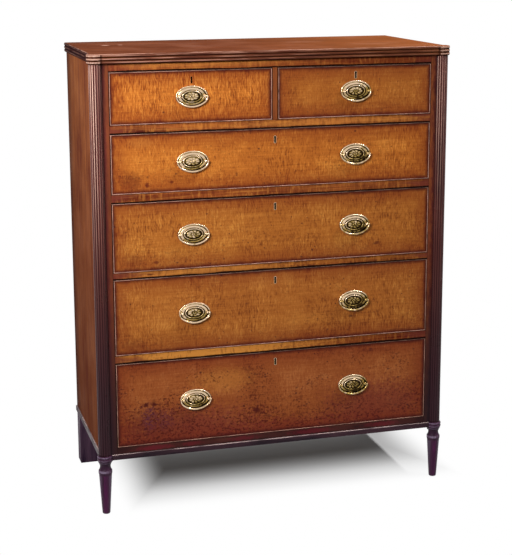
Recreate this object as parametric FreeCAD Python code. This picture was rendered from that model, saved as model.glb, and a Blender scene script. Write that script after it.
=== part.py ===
import FreeCAD, Part
import math
import os

# A tall chest of drawers: two small drawers over four long graduated ones, each edged with a
# cockbead and fitted with oval brass bail pulls and a lock, between reeded corner columns that
# run down into turned legs. Millimetres, +Z up, +X to the right of someone facing the front.
# Inside the functions y is 0 at the plane of the drawer fronts and grows towards the back;
# the finished pieces are then moved so that the origin lies on the floor under the middle.

V = FreeCAD.Vector

# Heights, from the floor up
CASE_BOTTOM = 183.0            # floor to the underside of the case
BASE_MOULDING_HEIGHT = 16.0    # moulding under the case, below CASE_BOTTOM
BOTTOM_RAIL_HEIGHT = 20.9
ROW_5_OPENING = 258.0          # heights of the drawer openings, row 1 at the top
ROW_4_OPENING = 230.0
ROW_3_OPENING = 206.0
ROW_2_OPENING = 175.0
ROW_1_OPENING = 152.5
RAIL_4_HEIGHT = 24.2           # rails between the rows, rail 1 under row 1
RAIL_3_HEIGHT = 19.4
RAIL_2_HEIGHT = 25.0
RAIL_1_HEIGHT = 24.8
TOP_RAIL_HEIGHT = 22.7
TOP_THICKNESS = 28.5

# Widths and depths of the case
OPENING_WIDTH = 980.6          # between the stiles
STILE_AND_COLUMN_WIDTH = 46.2  # from the opening to the outer face of the side
CASE_DEPTH = 485.0             # drawer fronts to the back of the case
SIDE_THICKNESS = 20.0
STILE_DEPTH = 30.0
RAIL_DEPTH = 60.0
DIVIDER_WIDTH = 17.4           # upright between the two small drawers
DIVIDER_DEPTH = 40.0
TENON_LENGTH = 10.0
TENON_SHOULDER = 5.0
BACK_BOARD_THICKNESS = 12.0
BACK_BOARD_COUNT = 6
BACK_BOARD_GAP = 1.0
BACK_RABBET_WIDTH = 10.0
GLUE_LINE = 0.1                # clearance left in every glued or nailed joint
OVERSHOOT = 1.0                # how far a cut or a tenon runs past the face it starts from
PICKING_TOLERANCE = 0.01       # for finding the edges to round

# Corner columns and the legs turned in one with them
COLUMN_RADIUS = 19.0
COLUMN_PROUD_FRONT = 12.6      # how far the column stands out from the drawer fronts
COLUMN_PROUD_SIDE = 9.5        # how far it stands out from the side
REED_COUNT = 16
REED_HEIGHT = 1.7              # from the groove between two reeds to their crown
COLLAR_RADIUS = 22.8
BULB_RADIUS = 21.6
NECK_RADIUS = 15.8
RING_RADIUS = 20.6
RING_HEIGHT = 12.0
RING_ROUNDING = 1.0
RING_TOP = 138.0               # floor to the top of the ring
NECK_HEIGHT = 150.0            # floor to the narrowest point above the ring
BULB_FULLNESS = 0.65           # how far the bulb's curve stays out from the neck, half way down
NECK_FULLNESS = 0.35           # the same for the hollow between the neck and the ring
LEG_TOP_RADIUS = 19.4          # just under the ring
LEG_TIP_RADIUS = 11.8
LEG_TIP_ROUNDING = 3.0

# Top board
TOP_FRONT_OVERHANG = 12.0
TOP_SIDE_OVERHANG = 3.5
TOP_BACK_OVERHANG = 23.0
TURRET_RADIUS = 24.0           # round corners over the columns
TOP_REED_COUNT = 3
TOP_REED_DEPTH = 2.4

# Base moulding, its frame, and the feet at the back
MOULDING_PROUD = 4.0
MOULDING_ROUNDING = 3.0
BASE_FRAME_WIDTH = 44.0
BRACKET_RADIUS = 14.0          # small coved brackets beside the front legs
BRACKET_DEPTH = 20.0
REAR_FOOT_WIDTH = 60.0
REAR_FOOT_DEPTH = 50.0
REAR_FOOT_TAPER = 3.0          # how much wider the foot is at the floor
GLUE_BLOCK_SIZE = 26.0
GLUE_BLOCK_LENGTH = 40.0

# Runners, guides, kickers and stops inside the case
RUNNER_WIDTH = 48.0
RUNNER_THICKNESS = 19.0
CENTRE_RUNNER_WIDTH = 80.0
GUIDE_HEIGHT = 22.0
STOP_HEIGHT = 5.0
STOP_LENGTH = 18.0
STOP_WIDTH = 42.0
STOP_SPACING = 660.0           # between the two stops of a long drawer

# Drawers
DRAWER_SIDE_GAP = 0.8
DRAWER_TOP_GAP = 0.8
DRAWER_LIFT = 0.3              # clearance between a drawer and its runners
DRAWER_BACK_CLEARANCE = 11.0   # between a drawer and the back boards
FRONT_THICKNESS = 20.0
DRAWER_SIDE_THICKNESS = 11.0
DRAWER_SIDE_DROP = 3.0         # the sides stop this far below the top of the front
DRAWER_BACK_THICKNESS = 12.0
DRAWER_BACK_DROP = 10.0
DRAWER_BOTTOM_THICKNESS = 8.0
DRAWER_BOTTOM_LIFT = 9.0
GROOVE_DEPTH = 5.0
DOVETAIL_LAP = 6.0             # wood left in front of the tails
DOVETAIL_PITCH = 42.0
DOVETAIL_SHOULDER = 24.0       # width of a tail where it leaves the side
DOVETAIL_SLOPE = 7.0           # one in seven
COCKBEAD_WIDTH = 3.0
COCKBEAD_DEPTH = 6.0
COCKBEAD_PROUD = 2.0

# Locks and keyholes
SMALL_KEYHOLE_DROP = 28.0      # top of a small drawer to the middle of its keyhole
LONG_KEYHOLE_DROP = 33.0
KEYHOLE_HEIGHT = 20.0
KEYHOLE_RADIUS = 3.0           # outside of the brass liner, at its round top
KEYHOLE_SLOT_WIDTH = 4.6
KEYHOLE_WALL = 1.0
KEYHOLE_LINER_DEPTH = 4.0
LOCK_WIDTH = 50.0
LOCK_HEIGHT = 46.0
LOCK_DEPTH = 10.0
BOLT_WIDTH = 16.0
BOLT_THICKNESS = 5.0
BOLT_LENGTH = 18.0
BOLT_TRAVEL = 8.0
BOLT_CLEARANCE = 0.1
BOLT_REST_DROP = 0.3           # top of the bolt below the top of the drawer, unlocked
BOLT_MORTISE_CLEARANCE = 1.0

# Bail pulls
PULL_SPACING = 500.0           # between the two pulls of a row
PLATE_HALF_WIDTH = 47.5
PLATE_HALF_HEIGHT = 31.5
PLATE_THICKNESS = 1.4
RIM_WIDTH = 4.0
RIM_HEIGHT = 4.0               # of the rim above the drawer front
INNER_RING_HALF_WIDTH = 29.0
INNER_RING_HALF_HEIGHT = 17.5
INNER_RING_WIDTH = 2.8
INNER_RING_HEIGHT = 3.6
BOSS_HALF_WIDTH = 14.0
BOSS_HALF_HEIGHT = 8.0
BOSS_HEIGHT = 3.4
RELIEF_ROUNDING = 0.9
POST_SPACING = 76.0
POST_HEAD_RADIUS = 4.5
POST_HEAD_LENGTH = 10.2
POST_HEAD_ROUNDING = 2.0
POST_SHANK_RADIUS = 2.5
POST_HOLE_CLEARANCE = 0.15
POST_END = 5.5                 # shank left behind the drawer front
NUT_HALF_WIDTH = 4.5
NUT_THICKNESS = 3.5
BAIL_RADIUS = 2.6
BAIL_DROP = 28.9               # pivot to the centre line of the bail's foot
BAIL_CORNER_RADIUS = 20.0
BAIL_PIVOT_OUT = 7.0           # drawer front to the pivot
BAIL_PIN_RADIUS = 1.5
BAIL_PIN_CLEARANCE = 0.05
BAIL_PIN_REACH = 3.5           # how far the pin goes into the post
BAIL_SIDE_CLEARANCE = 0.5

# What follows from them
ROW_OPENINGS = [ROW_1_OPENING, ROW_2_OPENING, ROW_3_OPENING, ROW_4_OPENING, ROW_5_OPENING]
RAIL_HEIGHTS = [RAIL_1_HEIGHT, RAIL_2_HEIGHT, RAIL_3_HEIGHT, RAIL_4_HEIGHT]
HALF_OPENING = OPENING_WIDTH / 2
SIDE_FACE = HALF_OPENING + STILE_AND_COLUMN_WIDTH
SIDE_INNER = SIDE_FACE - SIDE_THICKNESS
COLUMN_X = SIDE_FACE + COLUMN_PROUD_SIDE - COLUMN_RADIUS
COLUMN_Y = COLUMN_RADIUS - COLUMN_PROUD_FRONT
CASE_TOP = CASE_BOTTOM + BOTTOM_RAIL_HEIGHT + sum(ROW_OPENINGS) + sum(RAIL_HEIGHTS) + TOP_RAIL_HEIGHT
BASE_BOTTOM = CASE_BOTTOM - BASE_MOULDING_HEIGHT
BACK_FACE = CASE_DEPTH - BACK_BOARD_THICKNESS
DRAWER_LENGTH = BACK_FACE - DRAWER_BACK_CLEARANCE
TOP_BACK = CASE_DEPTH + TOP_BACK_OVERHANG
TURRET_FRONT = COLUMN_Y - TURRET_RADIUS
ORIGIN_SHIFT = -(TURRET_FRONT + TOP_BACK) / 2
BAIL_HALF_WIDTH = POST_SPACING / 2 + POST_HEAD_RADIUS + BAIL_SIDE_CLEARANCE + BAIL_RADIUS
SIDES = [("left", -1), ("right", 1)]


# Helpers

def box(x0, x1, y0, y1, z0, z1):
    """A box given by its limits."""
    return Part.makeBox(x1 - x0, y1 - y0, z1 - z0, V(x0, y0, z0))


def mirrored_box(side, x0, x1, y0, y1, z0, z1):
    """A box on the left (side -1) or right (side 1), with x measured outwards."""
    return box(min(side * x0, side * x1), max(side * x0, side * x1), y0, y1, z0, z1)


def prism(points, along):
    """A closed outline of straight edges, extruded."""
    outline = Part.makePolygon([V(*point) for point in points + points[:1]])
    return Part.Face(outline).extrude(V(*along))


def wire_prism(edges, along):
    """A closed outline of any edges, extruded."""
    return Part.Face(Part.Wire([edge.toShape() for edge in edges])).extrude(V(*along))


def line(start, end):
    """A straight edge."""
    return Part.LineSegment(V(*start), V(*end))


def arc(start, middle, end):
    """A round edge through three points."""
    return Part.Arc(V(*start), V(*middle), V(*end))


def joined(shapes):
    """One solid out of several that overlap or touch."""
    return shapes[0].multiFuse(shapes[1:]).removeSplitter()


def group(shapes):
    """Separate solids in one node."""
    return Part.makeCompound(shapes)


def row_floor(row):
    """Height of the floor of a drawer opening, row 1 at the top."""
    below = sum(ROW_OPENINGS[row:]) + sum(RAIL_HEIGHTS[row - 1:])
    return CASE_BOTTOM + BOTTOM_RAIL_HEIGHT + below


def row_ceiling(row):
    """Height of the top of a drawer opening."""
    return row_floor(row) + ROW_OPENINGS[row - 1]


def column_cylinder(side, radius, z0, z1):
    """An upright cylinder on the axis of a column."""
    return Part.makeCylinder(radius, z1 - z0, V(side * COLUMN_X, COLUMN_Y, z0))


# Drawer sizes

class Drawer:
    """Where a drawer sits, and where its pulls and its keyhole are."""

    def __init__(self, name, row, left, right, pulls, keyhole_x, keyhole_drop):
        self.name = name
        self.x0 = left + DRAWER_SIDE_GAP
        self.x1 = right - DRAWER_SIDE_GAP
        self.z0 = row_floor(row) + DRAWER_LIFT
        self.z1 = row_ceiling(row) - DRAWER_TOP_GAP
        self.pulls = pulls
        self.pull_z = (self.z0 + self.z1) / 2
        self.keyhole_x = keyhole_x
        self.keyhole_z = self.z1 - keyhole_drop
        self.row = row


def all_drawers():
    """The two small drawers and the four long ones."""
    half_divider = DIVIDER_WIDTH / 2
    pull_x = PULL_SPACING / 2
    drawers = [
        Drawer("upper_left", 1, -HALF_OPENING, -half_divider, [("", -pull_x)], -pull_x, SMALL_KEYHOLE_DROP),
        Drawer("upper_right", 1, half_divider, HALF_OPENING, [("", pull_x)], pull_x, SMALL_KEYHOLE_DROP),
    ]
    long_pulls = [("left_", -pull_x), ("right_", pull_x)]
    for row, name in [(2, "second"), (3, "third"), (4, "fourth"), (5, "bottom")]:
        drawers.append(Drawer(name, row, -HALF_OPENING, HALF_OPENING, long_pulls, 0.0, LONG_KEYHOLE_DROP))
    return drawers


# The case

def reeded_edge(edge, back, bottom, place, along):
    """A board's outline with reeds on its front edge, extruded. place turns (u, z) into a point."""
    pitch = TOP_THICKNESS / TOP_REED_COUNT
    groove = edge + TOP_REED_DEPTH
    edges = []
    for reed in range(TOP_REED_COUNT):
        z = bottom + reed * pitch
        edges.append(arc(place(groove, z), place(edge, z + pitch / 2), place(groove, z + pitch)))
    top = bottom + TOP_THICKNESS
    edges.append(line(place(groove, top), place(back, top)))
    edges.append(line(place(back, top), place(back, bottom)))
    edges.append(line(place(back, bottom), place(groove, bottom)))
    return wire_prism(edges, along)


def top_board():
    """The top, reeded along its front and ends, with round turret corners over the columns."""
    half_width = SIDE_FACE + TOP_SIDE_OVERHANG
    front = reeded_edge(-TOP_FRONT_OVERHANG, TOP_BACK, CASE_TOP,
                        lambda y, z: (-half_width, y, z), (2 * half_width, 0, 0))
    ends = []
    for name, side in SIDES:
        ends.append(reeded_edge(-half_width, 0, CASE_TOP,
                                lambda x, z: (-side * x, -TOP_FRONT_OVERHANG, z),
                                (0, TOP_BACK + TOP_FRONT_OVERHANG, 0)))
    board = front.common(ends[0].fuse(ends[1]).removeSplitter())
    pieces = [board]
    for name, side in SIDES:
        pieces.append(turned_turret(side))
    return joined(pieces)


def turned_turret(side):
    """One round corner of the top, turned about the axis of the column."""
    pitch = TOP_THICKNESS / TOP_REED_COUNT
    axis_x = side * COLUMN_X
    groove = axis_x + TURRET_RADIUS - TOP_REED_DEPTH
    crown = axis_x + TURRET_RADIUS
    edges = [line((axis_x, COLUMN_Y, CASE_TOP), (groove, COLUMN_Y, CASE_TOP))]
    for reed in range(TOP_REED_COUNT):
        z = CASE_TOP + reed * pitch
        edges.append(arc((groove, COLUMN_Y, z), (crown, COLUMN_Y, z + pitch / 2),
                         (groove, COLUMN_Y, z + pitch)))
    top = CASE_TOP + TOP_THICKNESS
    edges.append(line((groove, COLUMN_Y, top), (axis_x, COLUMN_Y, top)))
    edges.append(line((axis_x, COLUMN_Y, top), (axis_x, COLUMN_Y, CASE_TOP)))
    face = Part.Face(Part.Wire([edge.toShape() for edge in edges]))
    return face.revolve(V(axis_x, COLUMN_Y, 0), V(0, 0, 1), 360)


def side_panel(side):
    """One side, hollowed along its front edge for the column and rabbeted for the back."""
    panel = mirrored_box(side, SIDE_INNER, SIDE_FACE, COLUMN_Y, CASE_DEPTH, CASE_BOTTOM, CASE_TOP)
    rabbet = mirrored_box(side, SIDE_INNER, SIDE_INNER + BACK_RABBET_WIDTH, BACK_FACE, CASE_DEPTH,
                          CASE_BOTTOM, CASE_TOP)
    hollow = column_cylinder(side, COLUMN_RADIUS + GLUE_LINE, CASE_BOTTOM, CASE_TOP)
    return panel.cut(rabbet).cut(hollow)


def back_boards():
    """Horizontal boards nailed into the rabbets of the sides."""
    pitch = (CASE_TOP - CASE_BOTTOM) / BACK_BOARD_COUNT
    half_width = SIDE_INNER + BACK_RABBET_WIDTH - GLUE_LINE
    boards = []
    for number in range(BACK_BOARD_COUNT):
        z = CASE_BOTTOM + number * pitch
        boards.append(box(-half_width, half_width, BACK_FACE, CASE_DEPTH, z, z + pitch - BACK_BOARD_GAP))
    return group(boards)


def reeded_shaft(side):
    """The column: reeds all round, from the collar to the top board."""
    groove = COLUMN_RADIUS - REED_HEIGHT
    step = 2 * math.pi / REED_COUNT

    def on_circle(radius, angle):
        x = side * COLUMN_X + radius * math.cos(angle)
        return (x, COLUMN_Y + radius * math.sin(angle), CASE_BOTTOM)

    reeds = []
    for number in range(REED_COUNT):
        angle = number * step
        reeds.append(arc(on_circle(groove, angle), on_circle(COLUMN_RADIUS, angle + step / 2),
                         on_circle(groove, angle + step)))
    return wire_prism(reeds, (0, 0, CASE_TOP - CASE_BOTTOM))


def turned_leg(side, extra):
    """The leg under a column: collar, bulb, neck, ring and taper. extra makes it fatter all over."""
    def at(radius, z):
        return (side * COLUMN_X + radius, COLUMN_Y, z)

    collar_bottom = BASE_BOTTOM + MOULDING_ROUNDING
    ring_bottom = RING_TOP - RING_HEIGHT
    ring_middle = RING_TOP - RING_HEIGHT / 2
    bulb_middle = (BASE_BOTTOM + NECK_HEIGHT) / 2
    neck_shoulder = (NECK_HEIGHT + RING_TOP) / 2
    collar_top = CASE_BOTTOM - MOULDING_ROUNDING
    soft = MOULDING_ROUNDING * (1 - math.sqrt(0.5))
    tip_soft = LEG_TIP_ROUNDING * (1 - math.sqrt(0.5))
    collar = COLLAR_RADIUS + extra
    bulb = BULB_RADIUS + extra
    neck = NECK_RADIUS + extra
    ring = RING_RADIUS + extra
    ring_edge = ring - RING_ROUNDING
    leg_top = LEG_TOP_RADIUS + extra
    tip = LEG_TIP_RADIUS + extra
    edges = [
        line(at(0, CASE_BOTTOM), at(collar - MOULDING_ROUNDING, CASE_BOTTOM)),
        arc(at(collar - MOULDING_ROUNDING, CASE_BOTTOM), at(collar - soft, CASE_BOTTOM - soft),
            at(collar, collar_top)),
        line(at(collar, collar_top), at(collar, collar_bottom)),
        line(at(collar, collar_bottom), at(bulb, BASE_BOTTOM)),
        arc(at(bulb, BASE_BOTTOM), at(neck + (bulb - neck) * BULB_FULLNESS, bulb_middle),
            at(neck, NECK_HEIGHT)),
        arc(at(neck, NECK_HEIGHT), at(neck + (ring - neck) * NECK_FULLNESS, neck_shoulder),
            at(ring_edge, RING_TOP)),
        arc(at(ring_edge, RING_TOP), at(ring, ring_middle), at(ring_edge, ring_bottom)),
        line(at(ring_edge, ring_bottom), at(leg_top, ring_bottom)),
        line(at(leg_top, ring_bottom), at(tip, LEG_TIP_ROUNDING)),
        arc(at(tip, LEG_TIP_ROUNDING), at(tip - tip_soft, tip_soft), at(tip - LEG_TIP_ROUNDING, 0)),
        line(at(tip - LEG_TIP_ROUNDING, 0), at(0, 0)),
        line(at(0, 0), at(0, CASE_BOTTOM)),
    ]
    face = Part.Face(Part.Wire([edge.toShape() for edge in edges]))
    return face.revolve(V(side * COLUMN_X, COLUMN_Y, 0), V(0, 0, 1), 360)


def front_post(side):
    """A reeded column and its leg, turned in one."""
    return joined([reeded_shaft(side), turned_leg(side, 0)])


def rail_tenon(side, z0, z1):
    """The stub tenon at one end of a rail."""
    return mirrored_box(side, HALF_OPENING - OVERSHOOT, HALF_OPENING + TENON_LENGTH, TENON_SHOULDER,
                        STILE_DEPTH - TENON_SHOULDER, z0 + TENON_SHOULDER, z1 - TENON_SHOULDER)


def rail_levels():
    """Bottom and top of each rail across the front: top rail, rails 1 to 4, bottom rail."""
    levels = [(row_ceiling(1), CASE_TOP)]
    for row in range(1, len(ROW_OPENINGS)):
        levels.append((row_ceiling(row + 1), row_floor(row)))
    levels.append((CASE_BOTTOM, row_floor(len(ROW_OPENINGS))))
    return levels


def stiles():
    """The uprights between the columns and the drawers, mortised for the rails."""
    pieces = []
    for name, side in SIDES:
        stile = mirrored_box(side, HALF_OPENING, SIDE_INNER, 0, STILE_DEPTH, CASE_BOTTOM, CASE_TOP)
        cuts = [column_cylinder(side, COLUMN_RADIUS + GLUE_LINE, CASE_BOTTOM, CASE_TOP)]
        for z0, z1 in rail_levels():
            cuts.append(mirrored_box(side, HALF_OPENING - OVERSHOOT,
                                     HALF_OPENING + TENON_LENGTH + GLUE_LINE,
                                     TENON_SHOULDER - GLUE_LINE, STILE_DEPTH - TENON_SHOULDER + GLUE_LINE,
                                     z0 + TENON_SHOULDER - GLUE_LINE, z1 - TENON_SHOULDER + GLUE_LINE))
        pieces.append(stile.cut(group(cuts)))
    return group(pieces)


def bolt_mortise(drawer):
    """The hole above a drawer that its lock bolt rises into."""
    half = BOLT_WIDTH / 2 + BOLT_MORTISE_CLEARANCE
    y0 = bolt_front() - BOLT_MORTISE_CLEARANCE
    y1 = bolt_front() + BOLT_THICKNESS + BOLT_MORTISE_CLEARANCE
    ceiling = drawer.z1 + DRAWER_TOP_GAP
    return box(drawer.keyhole_x - half, drawer.keyhole_x + half, y0, y1, ceiling - OVERSHOOT,
               drawer.z1 - BOLT_REST_DROP + BOLT_TRAVEL + BOLT_MORTISE_CLEARANCE)


def divider_tenon(end_z, direction):
    """A stub tenon of the divider, up (1) or down (-1) from end_z."""
    start = end_z - direction * OVERSHOOT
    end = end_z + direction * TENON_LENGTH
    inset = DIVIDER_WIDTH / 4
    return box(-inset, inset, TENON_SHOULDER, DIVIDER_DEPTH - TENON_SHOULDER,
               min(start, end), max(start, end))


def centre_divider():
    """The upright between the small drawers, tenoned into the rails above and below."""
    half = DIVIDER_WIDTH / 2
    upright = box(-half, half, 0, DIVIDER_DEPTH, row_floor(1), row_ceiling(1))
    return joined([upright, divider_tenon(row_ceiling(1), 1), divider_tenon(row_floor(1), -1)])


def divider_mortise(end_z, direction):
    """The mortise for one of those tenons."""
    inset = DIVIDER_WIDTH / 4 + GLUE_LINE
    start = end_z - direction * OVERSHOOT
    end = end_z + direction * (TENON_LENGTH + GLUE_LINE)
    y0 = TENON_SHOULDER - GLUE_LINE
    return box(-inset, inset, y0, DIVIDER_DEPTH - y0, min(start, end), max(start, end))


def rail(number, drawers):
    """A rail across the front. 0 is the top rail, 1 to 4 lie under rows 1 to 4, 5 is the bottom rail."""
    z0, z1 = rail_levels()[number]
    body = joined([box(-HALF_OPENING, HALF_OPENING, 0, RAIL_DEPTH, z0, z1),
                   rail_tenon(-1, z0, z1), rail_tenon(1, z0, z1)])
    cuts = [bolt_mortise(drawer) for drawer in drawers if drawer.row == number + 1]
    if number == 0:
        cuts.append(divider_mortise(row_ceiling(1), 1))
    if number == 1:
        cuts.append(divider_mortise(row_floor(1), -1))
    return body.cut(group(cuts)) if cuts else body


def moulding_strip(outline_place, along):
    """A strip of the base frame with a rounded upper front edge."""
    z1 = CASE_BOTTOM
    z0 = BASE_BOTTOM
    soft = MOULDING_ROUNDING * (1 - math.sqrt(0.5))
    front = -MOULDING_PROUD
    back = front + BASE_FRAME_WIDTH
    edges = [
        line(outline_place(back, z0), outline_place(front, z0)),
        line(outline_place(front, z0), outline_place(front, z1 - MOULDING_ROUNDING)),
        arc(outline_place(front, z1 - MOULDING_ROUNDING), outline_place(front + soft, z1 - soft),
            outline_place(front + MOULDING_ROUNDING, z1)),
        line(outline_place(front + MOULDING_ROUNDING, z1), outline_place(back, z1)),
        line(outline_place(back, z1), outline_place(back, z0)),
    ]
    return wire_prism(edges, along)


def leg_bracket(side):
    """The small coved bracket between a front leg and the underside of the base moulding."""
    inner = COLUMN_X - COLLAR_RADIUS - BRACKET_RADIUS / 2
    outer = COLUMN_X - NECK_RADIUS / 2
    bottom = BASE_BOTTOM - BRACKET_RADIUS
    curve_end = inner + BRACKET_RADIUS
    reach = BRACKET_RADIUS * math.sqrt(0.5)
    edges = [
        line((side * outer, 0, BASE_BOTTOM), (side * inner, 0, BASE_BOTTOM)),
        arc((side * inner, 0, BASE_BOTTOM), (side * (inner + reach), 0, bottom + reach),
            (side * curve_end, 0, bottom)),
        line((side * curve_end, 0, bottom), (side * outer, 0, bottom)),
        line((side * outer, 0, bottom), (side * outer, 0, BASE_BOTTOM)),
    ]
    return wire_prism(edges, (0, BRACKET_DEPTH, 0)).cut(turned_leg(side, GLUE_LINE))


def base_moulding():
    """The frame under the case: moulded front and side strips, a plain back strip, two brackets."""
    side_inner = SIDE_FACE + MOULDING_PROUD - BASE_FRAME_WIDTH
    front_back = BASE_FRAME_WIDTH - MOULDING_PROUD
    collars = group([turned_leg(-1, GLUE_LINE), turned_leg(1, GLUE_LINE)])
    pieces = [moulding_strip(lambda y, z: (-COLUMN_X, y, z), (2 * COLUMN_X, 0, 0)).cut(collars)]
    back_strip = box(-side_inner, side_inner, CASE_DEPTH - BASE_FRAME_WIDTH, CASE_DEPTH,
                     BASE_BOTTOM, CASE_BOTTOM)
    pieces.append(back_strip)
    corner = box(-COLUMN_X, COLUMN_X, -MOULDING_PROUD, front_back, BASE_BOTTOM, CASE_BOTTOM)
    for name, side in SIDES:
        strip = moulding_strip(lambda x, z: (side * (SIDE_FACE - x), COLUMN_Y, z),
                               (0, CASE_DEPTH - COLUMN_Y, 0))
        pieces.append(strip.cut(corner).cut(collars))
        pieces.append(leg_bracket(side))
    return group(pieces)


def rear_foot(side):
    """A plain foot under a back corner, a little wider at the floor."""
    inner = SIDE_FACE - REAR_FOOT_WIDTH
    front = CASE_DEPTH - REAR_FOOT_DEPTH
    top = [V(side * x, y, BASE_BOTTOM) for x, y in
           [(inner, front), (SIDE_FACE, front), (SIDE_FACE, CASE_DEPTH), (inner, CASE_DEPTH)]]
    wide_inner = inner - REAR_FOOT_TAPER
    wide_front = front - REAR_FOOT_TAPER
    floor = [V(side * x, y, 0) for x, y in
             [(wide_inner, wide_front), (SIDE_FACE, wide_front), (SIDE_FACE, CASE_DEPTH),
              (wide_inner, CASE_DEPTH)]]
    wires = [Part.makePolygon(points + points[:1]) for points in (floor, top)]
    return Part.makeLoft(wires, True, True)


def drawer_runners():
    """Runners and guides for every row, kickers over the top row, and the centre runner."""
    pieces = []
    half_centre = CENTRE_RUNNER_WIDTH / 2
    for row in range(1, len(ROW_OPENINGS) + 1):
        floor = row_floor(row)
        for name, side in SIDES:
            pieces.append(mirrored_box(side, SIDE_INNER - RUNNER_WIDTH, SIDE_INNER, RAIL_DEPTH, BACK_FACE,
                                       floor - RUNNER_THICKNESS, floor))
            pieces.append(mirrored_box(side, HALF_OPENING, SIDE_INNER, RAIL_DEPTH, BACK_FACE,
                                       floor, floor + GUIDE_HEIGHT))
    for name, side in SIDES:
        pieces.append(mirrored_box(side, SIDE_INNER - RUNNER_WIDTH, SIDE_INNER, RAIL_DEPTH, BACK_FACE,
                                   row_ceiling(1), CASE_TOP))
    floor = row_floor(1)
    pieces.append(box(-half_centre, half_centre, RAIL_DEPTH, BACK_FACE, floor - RUNNER_THICKNESS, floor))
    pieces.append(box(-DIVIDER_WIDTH / 2, DIVIDER_WIDTH / 2, RAIL_DEPTH, BACK_FACE,
                      floor, floor + GUIDE_HEIGHT))
    pieces.append(box(-half_centre, half_centre, RAIL_DEPTH, BACK_FACE, row_ceiling(1), CASE_TOP))
    return group(pieces)


def drawer_stops():
    """Small blocks on the rails that the drawer fronts stop against."""
    front = FRONT_THICKNESS + GLUE_LINE
    half = STOP_WIDTH / 2
    blocks = []
    for row in range(1, len(ROW_OPENINGS) + 1):
        spacing = PULL_SPACING if row == 1 else STOP_SPACING
        floor = row_floor(row)
        for name, side in SIDES:
            x = side * spacing / 2
            blocks.append(box(x - half, x + half, front, front + STOP_LENGTH, floor, floor + STOP_HEIGHT))
    return group(blocks)


def glue_blocks():
    """Three-cornered blocks rubbed in between the rear feet and the base frame."""
    inner = SIDE_FACE - REAR_FOOT_WIDTH
    size = GLUE_BLOCK_SIZE
    slope = REAR_FOOT_TAPER * size / BASE_BOTTOM
    y = CASE_DEPTH - (REAR_FOOT_DEPTH + GLUE_BLOCK_LENGTH) / 2
    blocks = []
    for name, side in SIDES:
        corners = [(side * inner, y, BASE_BOTTOM), (side * (inner - size), y, BASE_BOTTOM),
                   (side * (inner - slope), y, BASE_BOTTOM - size)]
        blocks.append(prism(corners, (0, GLUE_BLOCK_LENGTH, 0)))
    return group(blocks)


# The drawers

def tail_heights(drawer):
    """The middle heights of the dovetails at a front corner of a drawer."""
    height = drawer.z1 - DRAWER_SIDE_DROP - drawer.z0
    count = max(2, int(height / DOVETAIL_PITCH))
    return [drawer.z0 + height * (number + 0.5) / count for number in range(count)]


def tail(x0, x1, middle, extra):
    """One dovetail of a drawer side, reaching forward into the front."""
    half_shoulder = DOVETAIL_SHOULDER / 2 + extra
    half_tip = half_shoulder + (FRONT_THICKNESS - DOVETAIL_LAP) / DOVETAIL_SLOPE
    tip = DOVETAIL_LAP - extra
    corners = [(x0 - extra, FRONT_THICKNESS, middle - half_shoulder), (x0 - extra, tip, middle - half_tip),
               (x0 - extra, tip, middle + half_tip), (x0 - extra, FRONT_THICKNESS, middle + half_shoulder)]
    return prism(corners, (x1 - x0 + 2 * extra, 0, 0))


def side_limits(drawer):
    """Left and right limits of a drawer's two side boards."""
    return [(drawer.x0, drawer.x0 + DRAWER_SIDE_THICKNESS), (drawer.x1 - DRAWER_SIDE_THICKNESS, drawer.x1)]


def bottom_limits(drawer, slack):
    """Limits in x and z of a drawer's bottom board in its grooves, or of the grooves, with slack."""
    inset = DRAWER_SIDE_THICKNESS - GROOVE_DEPTH - slack
    z0 = drawer.z0 + DRAWER_BOTTOM_LIFT - slack
    z1 = drawer.z0 + DRAWER_BOTTOM_LIFT + DRAWER_BOTTOM_THICKNESS + slack
    return drawer.x0 + inset, drawer.x1 - inset, z0, z1


def keyhole(drawer, shrink, y0, y1):
    """A keyhole-shaped prism: a round top and a narrower slot under it."""
    radius = KEYHOLE_RADIUS - shrink
    half_slot = KEYHOLE_SLOT_WIDTH / 2 - shrink
    centre_z = drawer.keyhole_z + KEYHOLE_HEIGHT / 2 - KEYHOLE_RADIUS
    bottom = drawer.keyhole_z - KEYHOLE_HEIGHT / 2 + shrink
    barrel = Part.makeCylinder(radius, y1 - y0, V(drawer.keyhole_x, y0, centre_z), V(0, 1, 0))
    slot = box(drawer.keyhole_x - half_slot, drawer.keyhole_x + half_slot, y0, y1, bottom, centre_z)
    return joined([barrel, slot])


def lock_front():
    """Where the lock case starts, behind the drawer's face."""
    return FRONT_THICKNESS - LOCK_DEPTH


def bolt_front():
    """Where the bolt starts, behind the drawer's face."""
    return lock_front() + (LOCK_DEPTH - BOLT_THICKNESS) / 2


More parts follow.
